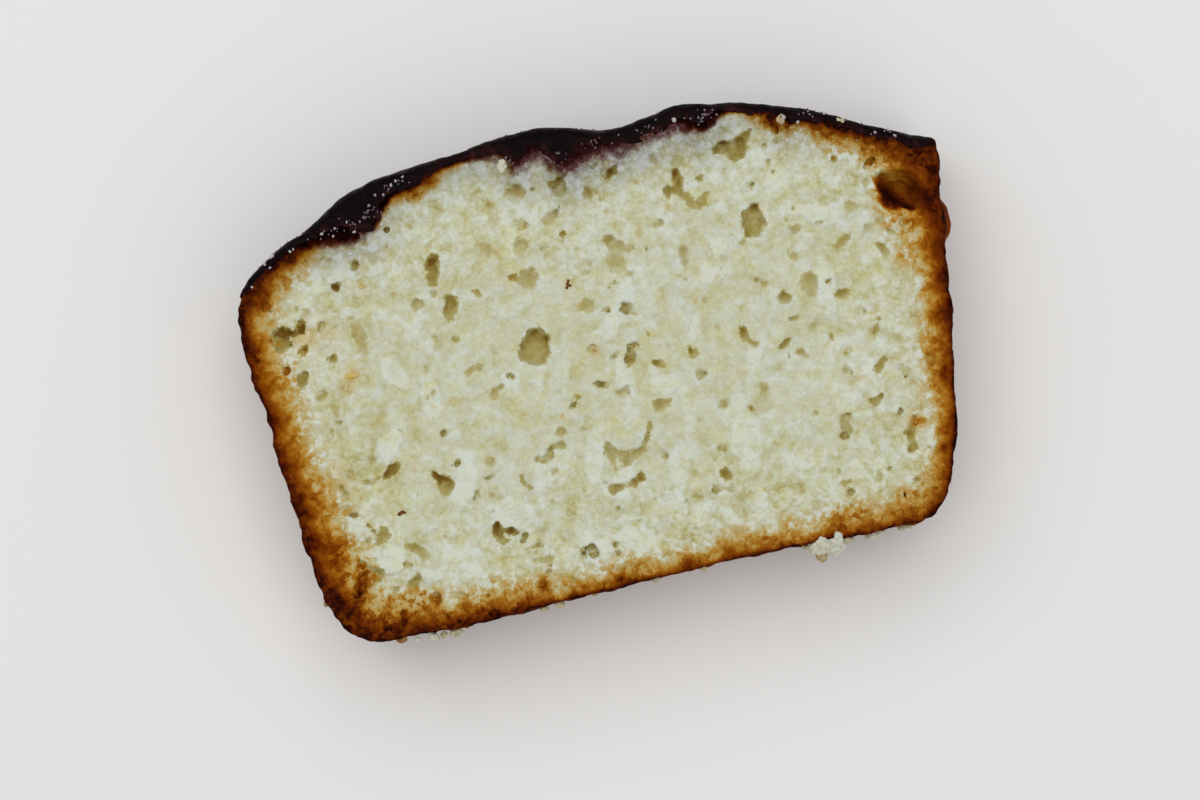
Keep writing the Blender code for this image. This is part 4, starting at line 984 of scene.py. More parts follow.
# Extra browning: place, radius and how much
BAKED_PATCHES = (
    (55.5, 54.5, 3.6, 0.62), (58.2, 52.5, 3.0, 0.9), (56.9, 49.0, 3.6, 0.86), (-45.0, 4.2, 3.4, 1.0),
    (47.2, 14.7, 1.3, 0.42), (-41.8, 8.8, 2.2, 0.5), (-44.2, 12.4, 2.0, 0.55), (51.8, 12.5, 1.8, 0.7),
    (50.3, 9.8, 1.5, 0.66), (-14.7, 2.4, 1.4, 0.55), (52.0, 54.6, 1.8, 0.42), (58.4, 56.0, 2.4, 1.0),
    (-51.6, 57.6, 2.2, 1.0),
)
PALE_PATCHES = (
    (48.0, 12.0, 1.6), (-41.0, 17.3, 1.7), (-37.0, 11.8, 2.0), (49.1, 21.7, 0.9), (38.3, 11.2, 1.6),
    (-26.0, 16.6, 1.6),
)
# The big cavity: middle and radius, and the side its lining is darkened towards, a painted shade of its
# overhang
CAVITY = (52.2, 50.2, 4.6)
CAVITY_SHADED_SIDE = (-0.75, -0.66)
# Where the fruit's dark stain ends on the shown face, from left to right, and how softly, by place across
STAIN_EDGE = (
    (-53.0, 54.5), (-50.5, 57.0), (-48.2, 58.3), (-46.0, 58.9), (-44.7, 59.6), (-43.2, 60.6), (-41.6, 61.2),
    (-38.8, 60.9), (-36.6, 60.5), (-34.2, 60.7), (-32.5, 60.3), (-30.3, 60.7), (-28.5, 61.4), (-27.5, 62.5),
    (-26.4, 64.0), (-25.0, 65.7), (-23.3, 66.5), (-22.0, 67.2), (-20.0, 67.9), (-17.0, 68.5), (-14.0, 68.8),
    (-12.0, 68.4), (-8.7, 68.1), (-7.0, 67.5), (-5.7, 65.8), (-4.1, 65.6), (-3.3, 66.4), (-0.7, 66.5),
    (0.2, 65.2), (1.5, 64.1), (3.3, 63.9), (5.0, 64.7), (7.2, 65.2), (9.8, 64.7), (12.0, 65.1),
    (15.0, 65.7), (18.0, 66.2), (20.5, 66.5), (22.0, 66.0), (23.2, 65.4), (24.8, 65.3), (26.0, 65.8),
    (27.2, 67.0), (29.0, 67.9), (31.0, 67.9), (33.0, 67.2), (35.0, 66.1), (36.6, 65.2), (37.3, 63.6),
    (38.3, 63.3), (39.2, 64.2), (41.0, 63.8), (44.0, 62.6), (47.0, 61.1), (50.0, 59.6), (53.0, 58.5),
    (56.0, 57.2), (60.0, 55.8),
)
STAIN_SOFTNESS = (
    (-52.0, 1.0), (-42.0, 1.2), (-39.0, 2.2), (-30.0, 2.4), (-27.0, 1.4), (-25.0, 1.0), (-13.0, 1.2),
    (-9.0, 2.2), (-5.0, 3.8), (12.0, 4.2), (20.0, 3.4), (24.0, 1.8), (27.0, 1.0), (36.0, 1.2), (60.0, 1.2),
)
ABOVE_THE_DOME = ((60.0, 90.0), (-53.0, 90.0))
# How strong the faint stain is that reaches further in, by place across
FAINT_STAIN = (
    (-52.0, 0.10), (-45.0, 0.16), (-36.0, 0.20), (-28.0, 0.16), (-18.0, 0.20), (-5.0, 0.22), (4.0, 0.26),
    (14.0, 0.28), (20.0, 0.26), (27.0, 0.22), (38.0, 0.20), (44.0, 0.14), (50.0, 0.10), (60.0, 0.0),
)
FAINT_REACH = 4.0

# Yellow to orange tints where zest lies in the crumb: place, radius and how much
ZEST_TINTS = (
    (-36.7, 40.2, 1.3, 0.9), (-37.8, 38.6, 1.4, 0.45), (-32.0, 53.3, 1.0, 0.4), (0.6, 36.0, 0.8, 0.6),
    (-9.7, 50.2, 1.6, 0.3), (46.8, 14.7, 1.5, 0.6), (50.6, 54.4, 1.2, 0.8), (-42.5, 47.5, 2.6, 0.5),
    (-38.5, 47.4, 2.4, 0.35), (-1.0, 46.9, 0.9, 0.5), (-42.0, 26.5, 1.0, 0.5), (-39.9, 22.8, 1.3, 0.5),
    (-41.4, 13.6, 1.4, 0.5), (-7.5, 34.0, 0.7, 0.5), (12.5, 41.5, 0.8, 0.45), (-22.0, 33.0, 0.8, 0.4),
    (22.0, 27.5, 0.7, 0.4), (30.5, 52.0, 0.9, 0.35),
)
ZEST_COLOUR = (0.95, 0.62, 0.16)
DOT_COLOUR = (0.93, 0.72, 0.50)
SIDE_TINT = (1.0, 0.92, 0.72)

BATCH = 20000
# Depth below the cut face over which the crumb's colour goes from its palest to its deepest: painted shade
# in the recesses
SUNK_SHADE_RANGE = 1.0


def nearest_station(points):
    places = np.array([(s.x, s.y) for s in STATIONS], np.float32)
    found = np.empty(len(points), int)
    for start in range(0, len(points), BATCH):
        part = points[start : start + BATCH, None, :2] - places[None]
        found[start : start + BATCH] = (part**2).sum(2).argmin(1)
    return found


def browning_at(points):
    """How fast browning fades, its strength and its mottle, blended between the outline's places."""
    places = np.array([(s.x, s.y) for s in STATIONS])
    rows = np.array(BROWNING)
    at = np.array([((places - row[:2]) ** 2).sum(1).argmin() for row in rows])
    order = np.argsort(at)
    where = np.arange(len(places))
    columns = [np.interp(where, at[order], rows[order, k], period=len(places)) for k in (2, 3, 4)]
    values = np.stack(columns, 1)
    found = np.empty((len(points), 3))
    for start in range(0, len(points), BATCH):
        away = ((points[start : start + BATCH, None, :2] - places[None]) ** 2).sum(2) + 0.5
        weight = (away.min(1)[:, None] / away) ** 4
        found[start : start + BATCH] = (weight @ values) / weight.sum(1)[:, None]
    return found.T


def spot(points, x, y, radius, power=2):
    """A soft round patch, 1 at its middle and almost 0 at twice its radius."""
    away = np.hypot(points[:, 0] - x, points[:, 1] - y) / radius
    return np.exp(-(away**power))


def baked(points, inward, wander, lining, wall, strength, fades, medium):
    """How brown each point is: the crust's edge, its walls, the patches and the cavity's lining, which is
    darker towards one side as painted shade of its overhang.
    """
    bake = strength * np.exp(-((np.maximum(inward + wander, 0) / fades) ** BROWNING_POWER)) - 0.03
    bake = np.minimum(bake + 0.25 * strength * np.clip(1 - inward / 0.8, 0, 1), BROWNING_CAP)
    wall_bake = np.clip(WALL_BAKE * (0.8 + 0.2 * strength) + 0.10 * medium, 0, BROWNING_CAP)
    bake = bake + (wall_bake - bake) * wall
    for x, y, radius, much in BAKED_PATCHES:
        bake = np.maximum(bake, much * spot(points, x, y, radius))
    for x, y, radius in PALE_PATCHES:
        bake = bake * (1 - 0.85 * spot(points, x, y, radius, 4))
    x, y, radius = CAVITY
    across, upward = (points[:, 0] - x) / radius, (points[:, 1] - y) / radius
    # Painted shade: the cavity's lining darkens towards its overhanging side
    dark = 0.52 + 1.30 * (across * CAVITY_SHADED_SIDE[0] + upward * CAVITY_SHADED_SIDE[1])
    return np.maximum(bake, lining * np.clip(dark, 0.30, 1))


def soaked(points, past_edge):
    """How much of the fruit's stain each point holds, by how far it is past the dark stain's edge."""
    softness = np.interp(points[:, 0], *zip(*STAIN_SOFTNESS))
    faint = np.interp(points[:, 0], *zip(*FAINT_STAIN))
    soak = np.clip(0.5 - past_edge / softness, 0, 1)
    return np.maximum(soak, faint * np.exp(-((np.maximum(past_edge, 0) / FAINT_REACH) ** 2)))


def paint_crumb(crumb, obj):
    """Works out how baked, stained, sunken and tan each point is, with painted shade in recesses, hollows
    and on steep walls and painted light on raised clumps, and which clump it is in.
    """
    points = points_of(obj)

    def at(grid):
        return sample(crumb, grid, points)

    def past_ring(ring):
        return at(ring_distance(crumb.x, crumb.y, ring))

    inward = -at(crumb.wall)
    fades, strength, mottle = browning_at(points)
    wander = 0.9 * at(crumb.medium) + 0.6 * at(crumb.fine) + 0.4 * at(crumb.finest)
    wander = wander * np.clip(inward / 1.5, 0, 1)
    wall = np.clip((THICKNESS - 0.7 - points[:, 2]) / 1.6, 0, 1) * np.clip((1.0 - inward) / 0.6, 0, 1)
    lining = np.clip((0.7 - past_ring(HOLLOWS[0].outline) - wander) / 0.6, 0, 1)
    bake = baked(points, inward, wander, lining, wall, strength, fades, at(crumb.medium))
    mottle = mottle * (0.78 + 0.5 * np.clip((inward - 2.5) / 3, 0, 1))
    side = np.clip((points[:, 1] - 4) / 8, 0, 1) * np.clip((56 - points[:, 1]) / 8, 0, 1)
    past_edge = past_ring(STAIN_EDGE + ABOVE_THE_DOME) + 0.35 * wander
    shown = np.clip((points[:, 2] - THICKNESS + 7.0) / 1.5, 0, 1)
    # Painted shade: how far each point lies below the smoothed face, coloured tan in recesses and paler
    # where raised
    sunk = (at(crumb.relief()) - points[:, 2]) * shown
    # Painted shade: steep pore walls are coloured tan, added to the tan haze
    normals = np.empty(len(points) * 3, np.float32)
    obj.data.vertex_normals.foreach_get("vector", normals)
    steep = np.clip((0.75 - normals.reshape(-1, 3)[:, 2]) / 0.5, 0, 1)
    pale_crumb = 1 - 0.85 * np.clip(bake / 0.4, 0, 1)
    zest = np.zeros(len(points))
    for x, y, radius, much in ZEST_TINTS:
        zest = np.maximum(zest, much * spot(points, x, y, radius))
    attributes = {
        "bake": bake,
        "mottle": mottle * (1 - 0.75 * lining) * (1 - 0.45 * wall) / 1.5,
        "side": side,
        "soak": soaked(points, past_edge),
        "sunk": np.where(inward < 0.3, 0.4, 0.4 + sunk / SUNK_SHADE_RANGE),
        "tan": (at(crumb.tan) + 0.35 * steep) * shown * pale_crumb / 1.5,
        "pit": 0.5 - 0.5 * at(crumb.pit) / EDGE_REACH,
        "pit_tan": at(crumb.pit_tan) * shown * pale_crumb,
        "pale": 0.5 - 0.5 * at(crumb.pale) / EDGE_REACH,
        "pale_shade": at(crumb.pale_shade) * shown,
        "clump": 0.5 + 0.5 * at(crumb.clump),
        "loose": looseness(-inward) / 1.3,
        "zest": zest,
    }
    for name, values in attributes.items():
        add_attribute(obj, name, values)


# Materials


class Value:
    """A socket of a material's node, with arithmetic that adds nodes."""

    def __init__(self, nodes, socket):
        self.nodes = nodes
        self.socket = socket

    def __add__(self, other):
        return self.nodes.math("ADD", self, other)

    def __sub__(self, other):
        return self.nodes.math("SUBTRACT", self, other)

    def __rsub__(self, other):
        return self.nodes.math("SUBTRACT", other, self)

    def __mul__(self, other):
        return self.nodes.math("MULTIPLY", self, other)


SHADER_SOCKETS = {
    "colour": "Base Color",
    "roughness": "Roughness",
    "normal": "Normal",
    "specular": "Specular IOR Level",
    "subsurface": "Subsurface Weight",
    "radius": "Subsurface Radius",
    "scale": "Subsurface Scale",
}


class Nodes:
    """A short way to write a material's nodes."""

    def __init__(self, name):
        self.material = bpy.data.materials.new(name)
        self.material.use_nodes = True
        self.tree = self.material.node_tree
        self.where = self.add("ShaderNodeTexCoord", "Object")

    def wire(self, value, socket):
        if isinstance(value, Value):
            self.tree.links.new(value.socket, socket)
        else:
            socket.default_value = value

    def add(self, kind, output, inputs=(), **settings):
        """A node with its settings, and inputs by name or number; gives the named output."""
        node = self.tree.nodes.new(kind)
        for key, value in settings.items():
            setattr(node, key, value)
        for key, value in dict(inputs).items():
            self.wire(value, node.inputs[key])
        return Value(self, node.outputs[output])

    def finished(self, **values):
        """The material, with these values on its shader."""
        shader = self.tree.nodes["Principled BSDF"]
        for name, value in values.items():
            self.wire(value, shader.inputs[SHADER_SOCKETS[name]])
        return self.material

    def attribute(self, name):
        return self.add("ShaderNodeAttribute", "Fac", attribute_name=name)

    def noise(self, size_mm, detail=3.0, roughness=0.55, output="Fac"):
        inputs = {"Vector": self.where, "Scale": 1 / (size_mm * MM)}
        inputs |= {"Detail": detail, "Roughness": roughness}
        return self.add("ShaderNodeTexNoise", output, inputs)

    def cells(self, size_mm, wander_mm):
        """Cells with edges that wander: distance from a cell's middle, and a number for each cell."""
        around = {0: self.noise(0.8 * size_mm, 4.0, 0.65, "Color"), 1: (0.5, 0.5, 0.5)}
        shift = self.add("ShaderNodeVectorMath", 0, around, operation="SUBTRACT")
        by = {0: shift, "Scale": 2 * wander_mm * MM}
        shift = self.add("ShaderNodeVectorMath", 0, by, operation="SCALE")
        where = self.add("ShaderNodeVectorMath", 0, {0: self.where, 1: shift}, operation="ADD")
        inputs = {"Vector": where, "Scale": 1 / (size_mm * MM)}
        distance = self.add("ShaderNodeTexVoronoi", "Distance", inputs)
        colour = Value(self, distance.socket.node.outputs["Color"])
        return distance, self.add("ShaderNodeSeparateColor", 0, {0: colour})

    def math(self, operation, a, b, clamp=False):
        return self.add("ShaderNodeMath", 0, {0: a, 1: b}, operation=operation, use_clamp=clamp)

    def edge(self, past, crispness):
        """0 to 1 across an edge, by the distance past it."""
        return self.math("ADD", past * crispness, 0.5, clamp=True)

    def fit(self, value, low, high, to_low=0.0, to_high=1.0):
        inputs = {"Value": value, "From Min": low, "From Max": high, "To Min": to_low, "To Max": to_high}
        return self.add("ShaderNodeMapRange", "Result", inputs, interpolation_type="SMOOTHSTEP")

    def ramp(self, value, stops):
        colour = self.add("ShaderNodeValToRGB", "Color", {"Fac": value})
        elements = colour.socket.node.color_ramp.elements
        while len(elements) < len(stops):
            elements.new(0.5)
        for element, (position, stop) in zip(elements, stops):
            element.position = position
            element.color = (*stop, 1.0)
        return colour

    def mix(self, share, a, b, blend="MIX"):
        a, b = ((*value, 1.0) if isinstance(value, tuple) else value for value in (a, b))
        inputs = {"Factor": share, 6: a, 7: b}
        return self.add("ShaderNodeMix", 2, inputs, data_type="RGBA", blend_type=blend)

    def multiplied(self, a, b, share=1.0):
        return self.mix(share, a, b, "MULTIPLY")

    def bump(self, height, strength, distance_mm, normal=None):
        inputs = {"Height": height, "Strength": strength, "Distance": distance_mm * MM}
        if normal:
            inputs["Normal"] = normal
        return self.add("ShaderNodeBump", "Normal", inputs)


CRUMB_STOPS = (
    (0.0, (0.660, 0.690, 0.570)),
    (0.12, (0.615, 0.635, 0.495)),
    (0.24, (0.580, 0.588, 0.425)),
    (0.36, (0.546, 0.538, 0.348)),
    (0.48, (0.502, 0.478, 0.272)),
    (0.60, (0.445, 0.396, 0.190)),
    (0.72, (0.376, 0.314, 0.108)),
    (0.86, (0.300, 0.230, 0.056)),
    (1.0, (0.180, 0.095, 0.016)),
)
HUE_STOPS = ((0.0, (0.99, 1.01, 1.14)), (0.5, (1.0, 1.0, 1.0)), (1.0, (1.025, 0.98, 0.74)))
CRUST_STOPS = (
    (0.0, (0.58, 0.54, 0.36)),
    (0.1, (0.520, 0.412, 0.188)),
    (0.2, (0.484, 0.318, 0.088)),
    (0.3, (0.420, 0.215, 0.029)),
    (0.4, (0.345, 0.140, 0.011)),
    (0.5, (0.270, 0.085, 0.0035)),
    (0.6, (0.205, 0.050, 0.0018)),
    (0.7, (0.148, 0.030, 0.0012)),
    (0.8, (0.100, 0.0165, 0.0009)),
    (0.9, (0.050, 0.0056, 0.0009)),
    (1.0, (0.0150, 0.0030, 0.0015)),
)
# What the fruit's stain multiplies the crumb's and the crust's own colour by
STAIN_STOPS = (
    (0.0, (1.0, 1.0, 1.0)),
    (0.2, (0.66, 0.66, 0.74)),
    (0.4, (0.35, 0.27, 0.31)),
    (0.6, (0.160, 0.070, 0.088)),
    (0.8, (0.070, 0.017, 0.025)),
    (1.0, (0.022, 0.0045, 0.0070)),
)
GLAZE_STOPS = (
    (0.0, (0.0014, 0.0005, 0.0007)),
    (0.4, (0.0034, 0.0008, 0.0011)),
    (0.75, (0.0115, 0.0019, 0.0026)),
    (1.0, (0.034, 0.0070, 0.0085)),
)
BARE_GLAZE = (0.040, 0.0066, 0.0104)
SUGAR_STOPS = ((0.0, (0.62, 0.62, 0.62)), (0.5, (0.30, 0.24, 0.27)), (1.0, (0.075, 0.035, 0.055)))
SUGAR_SHADE = (0.10, 0.07, 0.08)
LOOSE_CRUMB_STOPS = (
    (0.0, (0.62, 0.64, 0.55)),
    (0.3, (0.50, 0.46, 0.30)),
    (0.6, (0.36, 0.22, 0.07)),
    (1.0, (0.14, 0.045, 0.008)),
)
FLECK_STOPS = (
    (0.0, (0.55, 0.48, 0.24)),
    (0.3, (0.62, 0.40, 0.09)),
    (0.6, (0.36, 0.15, 0.03)),
    (1.0, (0.10, 0.035, 0.012)),
)
FLOOR_COLOURS = ((0.80, 0.79, 0.775), (0.83, 0.82, 0.805))


def crumb_material():
    n = Nodes("crumb_and_crust")
    names = ("bake", "soak", "sunk", "loose", "pit_tan")
    bake, soak, sunk, loose, pit_tan = (n.attribute(name) for name in names)
    grains = n.noise(0.85, 4.0, 0.6)
    specks = n.noise(0.4, 3.0, 0.6)
    small_gap, small_number = n.cells(0.8, 0.3)
    gap, number = n.cells(1.6, 0.7)
    _, patch = n.cells(2.8, 1.3)
    flakes = n.fit(n.noise(1.7, 6.0, 0.68), 0.485, 0.535)
    big_flakes = n.fit(n.noise(3.6, 6.0, 0.66), 0.485, 0.525)

    # Crumb: clumps and flakes, hollows with painted tan shade, pale clumps with painted light, hue, dots
    # and zest
    clumps = n.attribute("clump") * 0.34 + small_gap * 0.30 + small_number * 0.20 + gap * 0.16
    clumps = clumps + number * 0.24 + patch * 0.14 + flakes * 0.17 + big_flakes * 0.16
    clumps = clumps + grains * 0.2 + specks * 0.3 - 1.08
    past_rim = n.attribute("pit") + specks * 0.5 + grains * 0.45 - 0.975
    in_pit = n.edge(past_rim, n.fit(pit_tan, 0.3, 0.75, 3.0, 14.0))
    past_edge = n.attribute("pale") + specks * 0.7 + grains * 1.4 + small_number * 0.2 - 1.65
    in_pale = n.edge(past_edge, 5.0) * (1.0 - in_pit)
    # Painted shade and light by depth: tan below the smoothed face, paler where raised
    tone = clumps * (loose - in_pit * (loose * 0.55)) + 0.27
    tone = tone + n.fit(sunk, 0.12, 0.85, -0.08, 0.20) + n.attribute("tan") * 0.66
    # Painted shade inside hollows, and painted light that makes the pale clumps paler
    tone = tone + pit_tan * in_pit * 0.62 - n.attribute("pale_shade") * in_pale * 0.55
    hue = n.noise(2.2, 3.0, 0.6) * 0.9 + n.noise(9.0, 2.0) * 0.7 + number * 0.30 - 0.45
    crumb = n.multiplied(n.ramp(tone, CRUMB_STOPS), n.ramp(hue, HUE_STOPS))
    dot, dot_number = n.cells(4.6, 1.0)
    dots = n.fit(dot, 0.06, 0.19, 1.0, 0.0) * n.fit(dot_number, 0.45, 0.75, 0.0, 0.8)
    crumb = n.multiplied(crumb, DOT_COLOUR, dots)
    zest = n.attribute("zest") * n.fit(grains, 0.3, 0.6, 0.5, 1.0)
    crumb = n.multiplied(crumb, ZEST_COLOUR, zest)

    # Crust: browning, broken up by mottle
    mottle = grains * 0.65 + n.noise(1.9, 3.0) * 0.5 + n.noise(4.2, 2.0) * 0.45 + small_number * 0.36
    mottle = mottle + number * 0.28 + patch * 0.16 + specks * 0.45 - 1.425
    # Painted shade: deeper points of the crust brown further
    uneven = (mottle + (sunk - 0.4) * 0.35) * n.fit(bake, 0.0, 0.20, 0.0, 1.1) * n.attribute("mottle")
    brown = n.math("MAXIMUM", bake + uneven, bake * 0.6 - 0.06)
    crust = n.mix(1.0, crumb, n.ramp(brown, CRUST_STOPS), "DARKEN")
    crust = n.multiplied(crust, SIDE_TINT, n.attribute("side") * n.fit(brown, 0.06, 0.25))
    colour = n.mix(n.fit(brown, 0.0, 0.08), crumb, crust)

    stain = soak + mottle * n.fit(soak, 0.05, 0.5, 0.0, 0.55)
    return n.finished(
        colour=n.multiplied(colour, n.ramp(stain, STAIN_STOPS)),
        roughness=0.9,
        subsurface=0.1,
        radius=(1.0, 0.8, 0.5),
        scale=0.5 * MM,
        specular=0.03,
        normal=n.bump(specks, 0.7, 0.12, n.bump(grains, 0.6, 0.2, n.bump(1.0 - small_gap, 0.6, 0.28))),
    )


def glaze_material():
    n = Nodes("fruit_glaze")
    mottle = n.noise(1.6, 4.0, 0.6)
    fine = n.noise(0.5, 3.0)
    outside = n.attribute("outside")
    tone = n.fit(mottle, 0.32, 0.72) * 0.6 + n.attribute("inner") * 0.45 + (fine - 0.5) * 0.5
    bare = outside * n.fit(n.noise(5.0, 4.0, 0.6), 0.35, 0.65, 0.5, 1.0)
    return n.finished(
        colour=n.mix(bare, n.ramp(tone, GLAZE_STOPS), BARE_GLAZE),
        roughness=n.fit(fine, 0.3, 0.7, 0.35, 0.6) - outside * 0.2,
        specular=0.04,
        normal=n.bump(fine, 0.6, 0.12, n.bump(mottle, 0.5, 0.25)),
    )


def sugar_material():
    n = Nodes("sugar")
    colour = n.ramp(n.attribute("tint"), SUGAR_STOPS)
    return n.finished(
        colour=n.mix(n.fit(n.noise(0.3, 2.0), 0.3, 0.7, 0.0, 0.35), colour, SUGAR_SHADE),
        roughness=n.fit(n.noise(0.4, 2.0), 0.3, 0.7, 0.2, 0.5),
        subsurface=0.3,
        radius=(1.0, 1.0, 1.0),
        scale=0.4 * MM,
        normal=n.bump(n.noise(0.25, 2.0), 0.3, 0.04),
    )


def fleck_material(name, stops, size_mm):
    """Small pieces whose colour follows their own tint, broken up by grain."""
    n = Nodes(name)
    grain = n.noise(size_mm, 3.0, 0.6)
    return n.finished(
        colour=n.ramp(n.attribute("tint") + (grain - 0.5) * 0.7, stops),
        roughness=0.75,
        specular=0.15,
        subsurface=0.2,
        radius=(1.0, 0.8, 0.5),
        scale=0.6 * MM,
        normal=n.bump(grain, 0.6, 0.1),
    )


def floor_material():
    n = Nodes("pale_floor")
    return n.finished(colour=n.mix(n.noise(400.0, 2.0), *FLOOR_COLOURS), roughness=0.6)


# Cake
CAKE_SEED = 7
SHOWN_TRIANGLES = 158000
HIDDEN_TRIANGLES = 37000
SHOWN_LEVEL = THICKNESS - 4.5
crumb_field = Crumb(CAKE_SEED)
crumb_field.carve_all()
cake_points, cake_quads = keep_largest(*crumb_field.mesh_data())
cake_points[:, 2] = np.maximum(cake_points[:, 2], 0.0)
cake = mesh_object("cake_crumb", cake_points, cake_quads, crumb_material())
thin_out(cake, points_of(cake)[:, 2] < SHOWN_LEVEL, HIDDEN_TRIANGLES)
thin_out(cake, points_of(cake)[:, 2] >= SHOWN_LEVEL, SHOWN_TRIANGLES)
paint_crumb(crumb_field, cake)

# Glaze
GLAZE_SEED = 11
glaze_field = Glaze(GLAZE_SEED)
glaze_points, glaze_quads = keep_largest(*glaze_field.mesh_data())
glaze = mesh_object("fruit_glaze", glaze_points, glaze_quads, glaze_material())
add_attribute(glaze, "inner", 1 - sample(glaze_field, glaze_field.wall, glaze_points) / 1.6)
add_attribute(glaze, "outside", (THICKNESS - 1.2 - glaze_points[:, 2]) / 3.5)

# Small loose pieces, each kind one piece
SUGAR_SEED = 23
LUMP_SEED = 100
CRYSTAL_CORNERS = 16
HIGH_ABOVE = THICKNESS + 10
LOWEST_SEAT = THICKNESS - 3
STEP_IN = 0.995
draw = np.random.default_rng(SUGAR_SEED)
graph = bpy.context.evaluated_depsgraph_get()
surfaces = [BVHTree.FromObject(obj, graph) for obj in (cake, glaze)]


def settled(x, y):
    """The place on the shown face at x and y, or the nearest one further in, in millimetres."""
    while True:
        start = Vector(((x + SHIFT[0]) * MM, (y + SHIFT[1]) * MM, HIGH_ABOVE * MM))
        hits = [tree.ray_cast(start, Vector((0, 0, -1)))[0] for tree in surfaces]
        levels = [hit.z / MM for hit in hits if hit]
        if levels and max(levels) > LOWEST_SEAT:
            return x, y, max(levels)
        x, y = STEP_IN * x, STEP_IN * y


def crystal(x, y, z, size):
    """Points and triangles of one sugar grain: a faceted lump."""
    bm = bmesh.new()
    turn = Matrix.Rotation(draw.uniform(0, 6.28), 3, "Z") @ Matrix.Rotation(draw.uniform(0, 6.28), 3, "X")
    for _ in range(CRYSTAL_CORNERS):
        direction = Vector(draw.normal(size=3)).normalized()
        corner = Vector([math.copysign(abs(v) ** 0.6, v) for v in direction])
        corner = turn @ Vector((corner.x, corner.y * 0.8, corner.z * 0.7))
        bm.verts.new(corner * size / 2 * draw.uniform(0.8, 1.0) + Vector((x, y, z)))
    found = bmesh.ops.convex_hull(bm, input=bm.verts)
    bmesh.ops.delete(bm, geom=list({*found["geom_interior"], *found["geom_unused"]}), context="VERTS")
    bmesh.ops.recalc_face_normals(bm, faces=bm.faces)
    bm.verts.index_update()
    points = np.array([v.co[:] for v in bm.verts])
    faces = np.array([[v.index for v in face.verts] for face in bm.faces])
    bm.free()
    return points, faces


# Sugar grains: place, size and how far the fruit has tinted them
Grain = namedtuple("Grain", "x y size tint")
GRAINS = [Grain(*row) for row in (
    (-45.3, 61.4, 0.9, 0.1), (-41.9, 60.9, 0.5, 0.1), (-41.3, 61.1, 0.4, 0.2), (-36.5, 62.5, 0.6, 0.2),
    (-34.9, 61.8, 0.5, 0.2), (-34.4, 62.9, 0.5, 0.3), (-32.4, 63.5, 0.5, 0.3), (-31.6, 61.8, 0.6, 0.2),
    (-29.6, 63.6, 0.7, 0.8), (-28.5, 65.3, 0.6, 0.5), (-27.2, 66.6, 0.5, 0.4), (-26.0, 66.4, 0.5, 0.3),
    (-24.5, 67.6, 0.6, 0.3), (-23.7, 68.1, 0.5, 0.2), (-22.5, 68.5, 0.5, 0.3), (-27.2, 62.0, 0.6, 0.0),
    (20.2, 68.1, 0.8, 0.15), (18.2, 70.2, 0.5, 0.2), (36.7, 64.8, 0.9, 0.1), (38.8, 63.7, 0.6, 0.2),
    (50.1, 59.7, 0.5, 0.3), (52.9, 58.5, 0.6, 0.2), (-46.4, 60.2, 0.6, 0.2), (-45.4, 59.1, 0.4, 0.1),
    (-48.8, 56.8, 0.5, 0.2),
)]
# Patches of many small tinted grains: middle, half width, half height, number and tint
GRAIN_PATCHES = (
    (-28.4, 64.4, 1.3, 0.8, 14, 0.75), (24.5, 67.6, 1.7, 1.1, 22, 0.6), (7.5, 67.2, 1.7, 0.8, 12, 0.8),
    (2.0, 66.0, 1.2, 1.0, 10, 0.85), (-34.0, 63.0, 4.0, 1.4, 16, 0.7), (-24.5, 67.4, 2.2, 0.9, 10, 0.7),
    (16.0, 67.6, 4.0, 1.0, 14, 0.8), (-7.0, 67.4, 2.0, 0.8, 8, 0.6), (40.0, 64.9, 4.0, 0.6, 10, 0.5),
    (51.0, 59.6, 4.0, 0.6, 8, 0.5),
)
# Groups of grains on the glaze's outside, and the spans that their middles and counts lie in
OUTER_GROUPS = 14
OUTER_X = (-44, 50)
OUTER_LEVELS = (2, THICKNESS - 1)
OUTER_COUNTS = (6, 16)
OUTER_SPREAD = (3.0, 2.0)
BEHIND = 0.2


def face_grains():
    """Places, sizes and tints of the grains on the shown face."""
    grains = list(GRAINS)
    for x, y, wide, high, count, tint in GRAIN_PATCHES:
        for _ in range(count):
            place = (x + wide * draw.normal() * 0.6, y + high * draw.normal() * 0.6)
            grains.append(Grain(*place, draw.uniform(0.22, 0.42), tint + draw.uniform(-0.2, 0.2)))
    return grains


def outer_grains():
    """Places, sizes and tints of tinted grains on the glaze's outside, in groups."""
    found = []
    for _ in range(OUTER_GROUPS):
        middle = draw.uniform(*OUTER_X), draw.uniform(*OUTER_LEVELS)
        for _ in range(draw.integers(*OUTER_COUNTS)):
            x = middle[0] + OUTER_SPREAD[0] * draw.normal()
            z = middle[1] + OUTER_SPREAD[1] * draw.normal()
            z = min(max(z, 1.0), THICKNESS - 1.5)
            start = Vector(((x + SHIFT[0]) * MM, BEHIND, z * MM))
            hit = surfaces[1].ray_cast(start, Vector((0, -1, 0)))[0]
            if hit:
                place = (x, hit.y / MM - SHIFT[1], z)
                found.append((*place, draw.uniform(0.25, 0.55), draw.uniform(0.5, 1.0)))
    return found


def tinted_pieces(name, parts, material, smooth=True):
    """One piece of many small parts: points, faces and a tint for each."""
    piece = mesh_object(name, *joined([part[:2] for part in parts]), material, smooth)
    add_attribute(piece, "tint", np.concatenate([np.full(len(points), tint) for points, _, tint in parts]))
    return piece


GRAIN_GROWTH = 1.15
GRAIN_LIFT = 0.12
grain_parts = []
for grain in face_grains():
    size = GRAIN_GROWTH * grain.size
    x, y, z = settled(grain.x, grain.y)
    grain_parts.append((*crystal(x, y, z + GRAIN_LIFT * size, size), grain.tint))
for x, y, z, size, tint in outer_grains():
    grain_parts.append((*crystal(x, y, z, size), tint))
sugar = tinted_pieces("sugar_grains", grain_parts, sugar_material(), smooth=False)

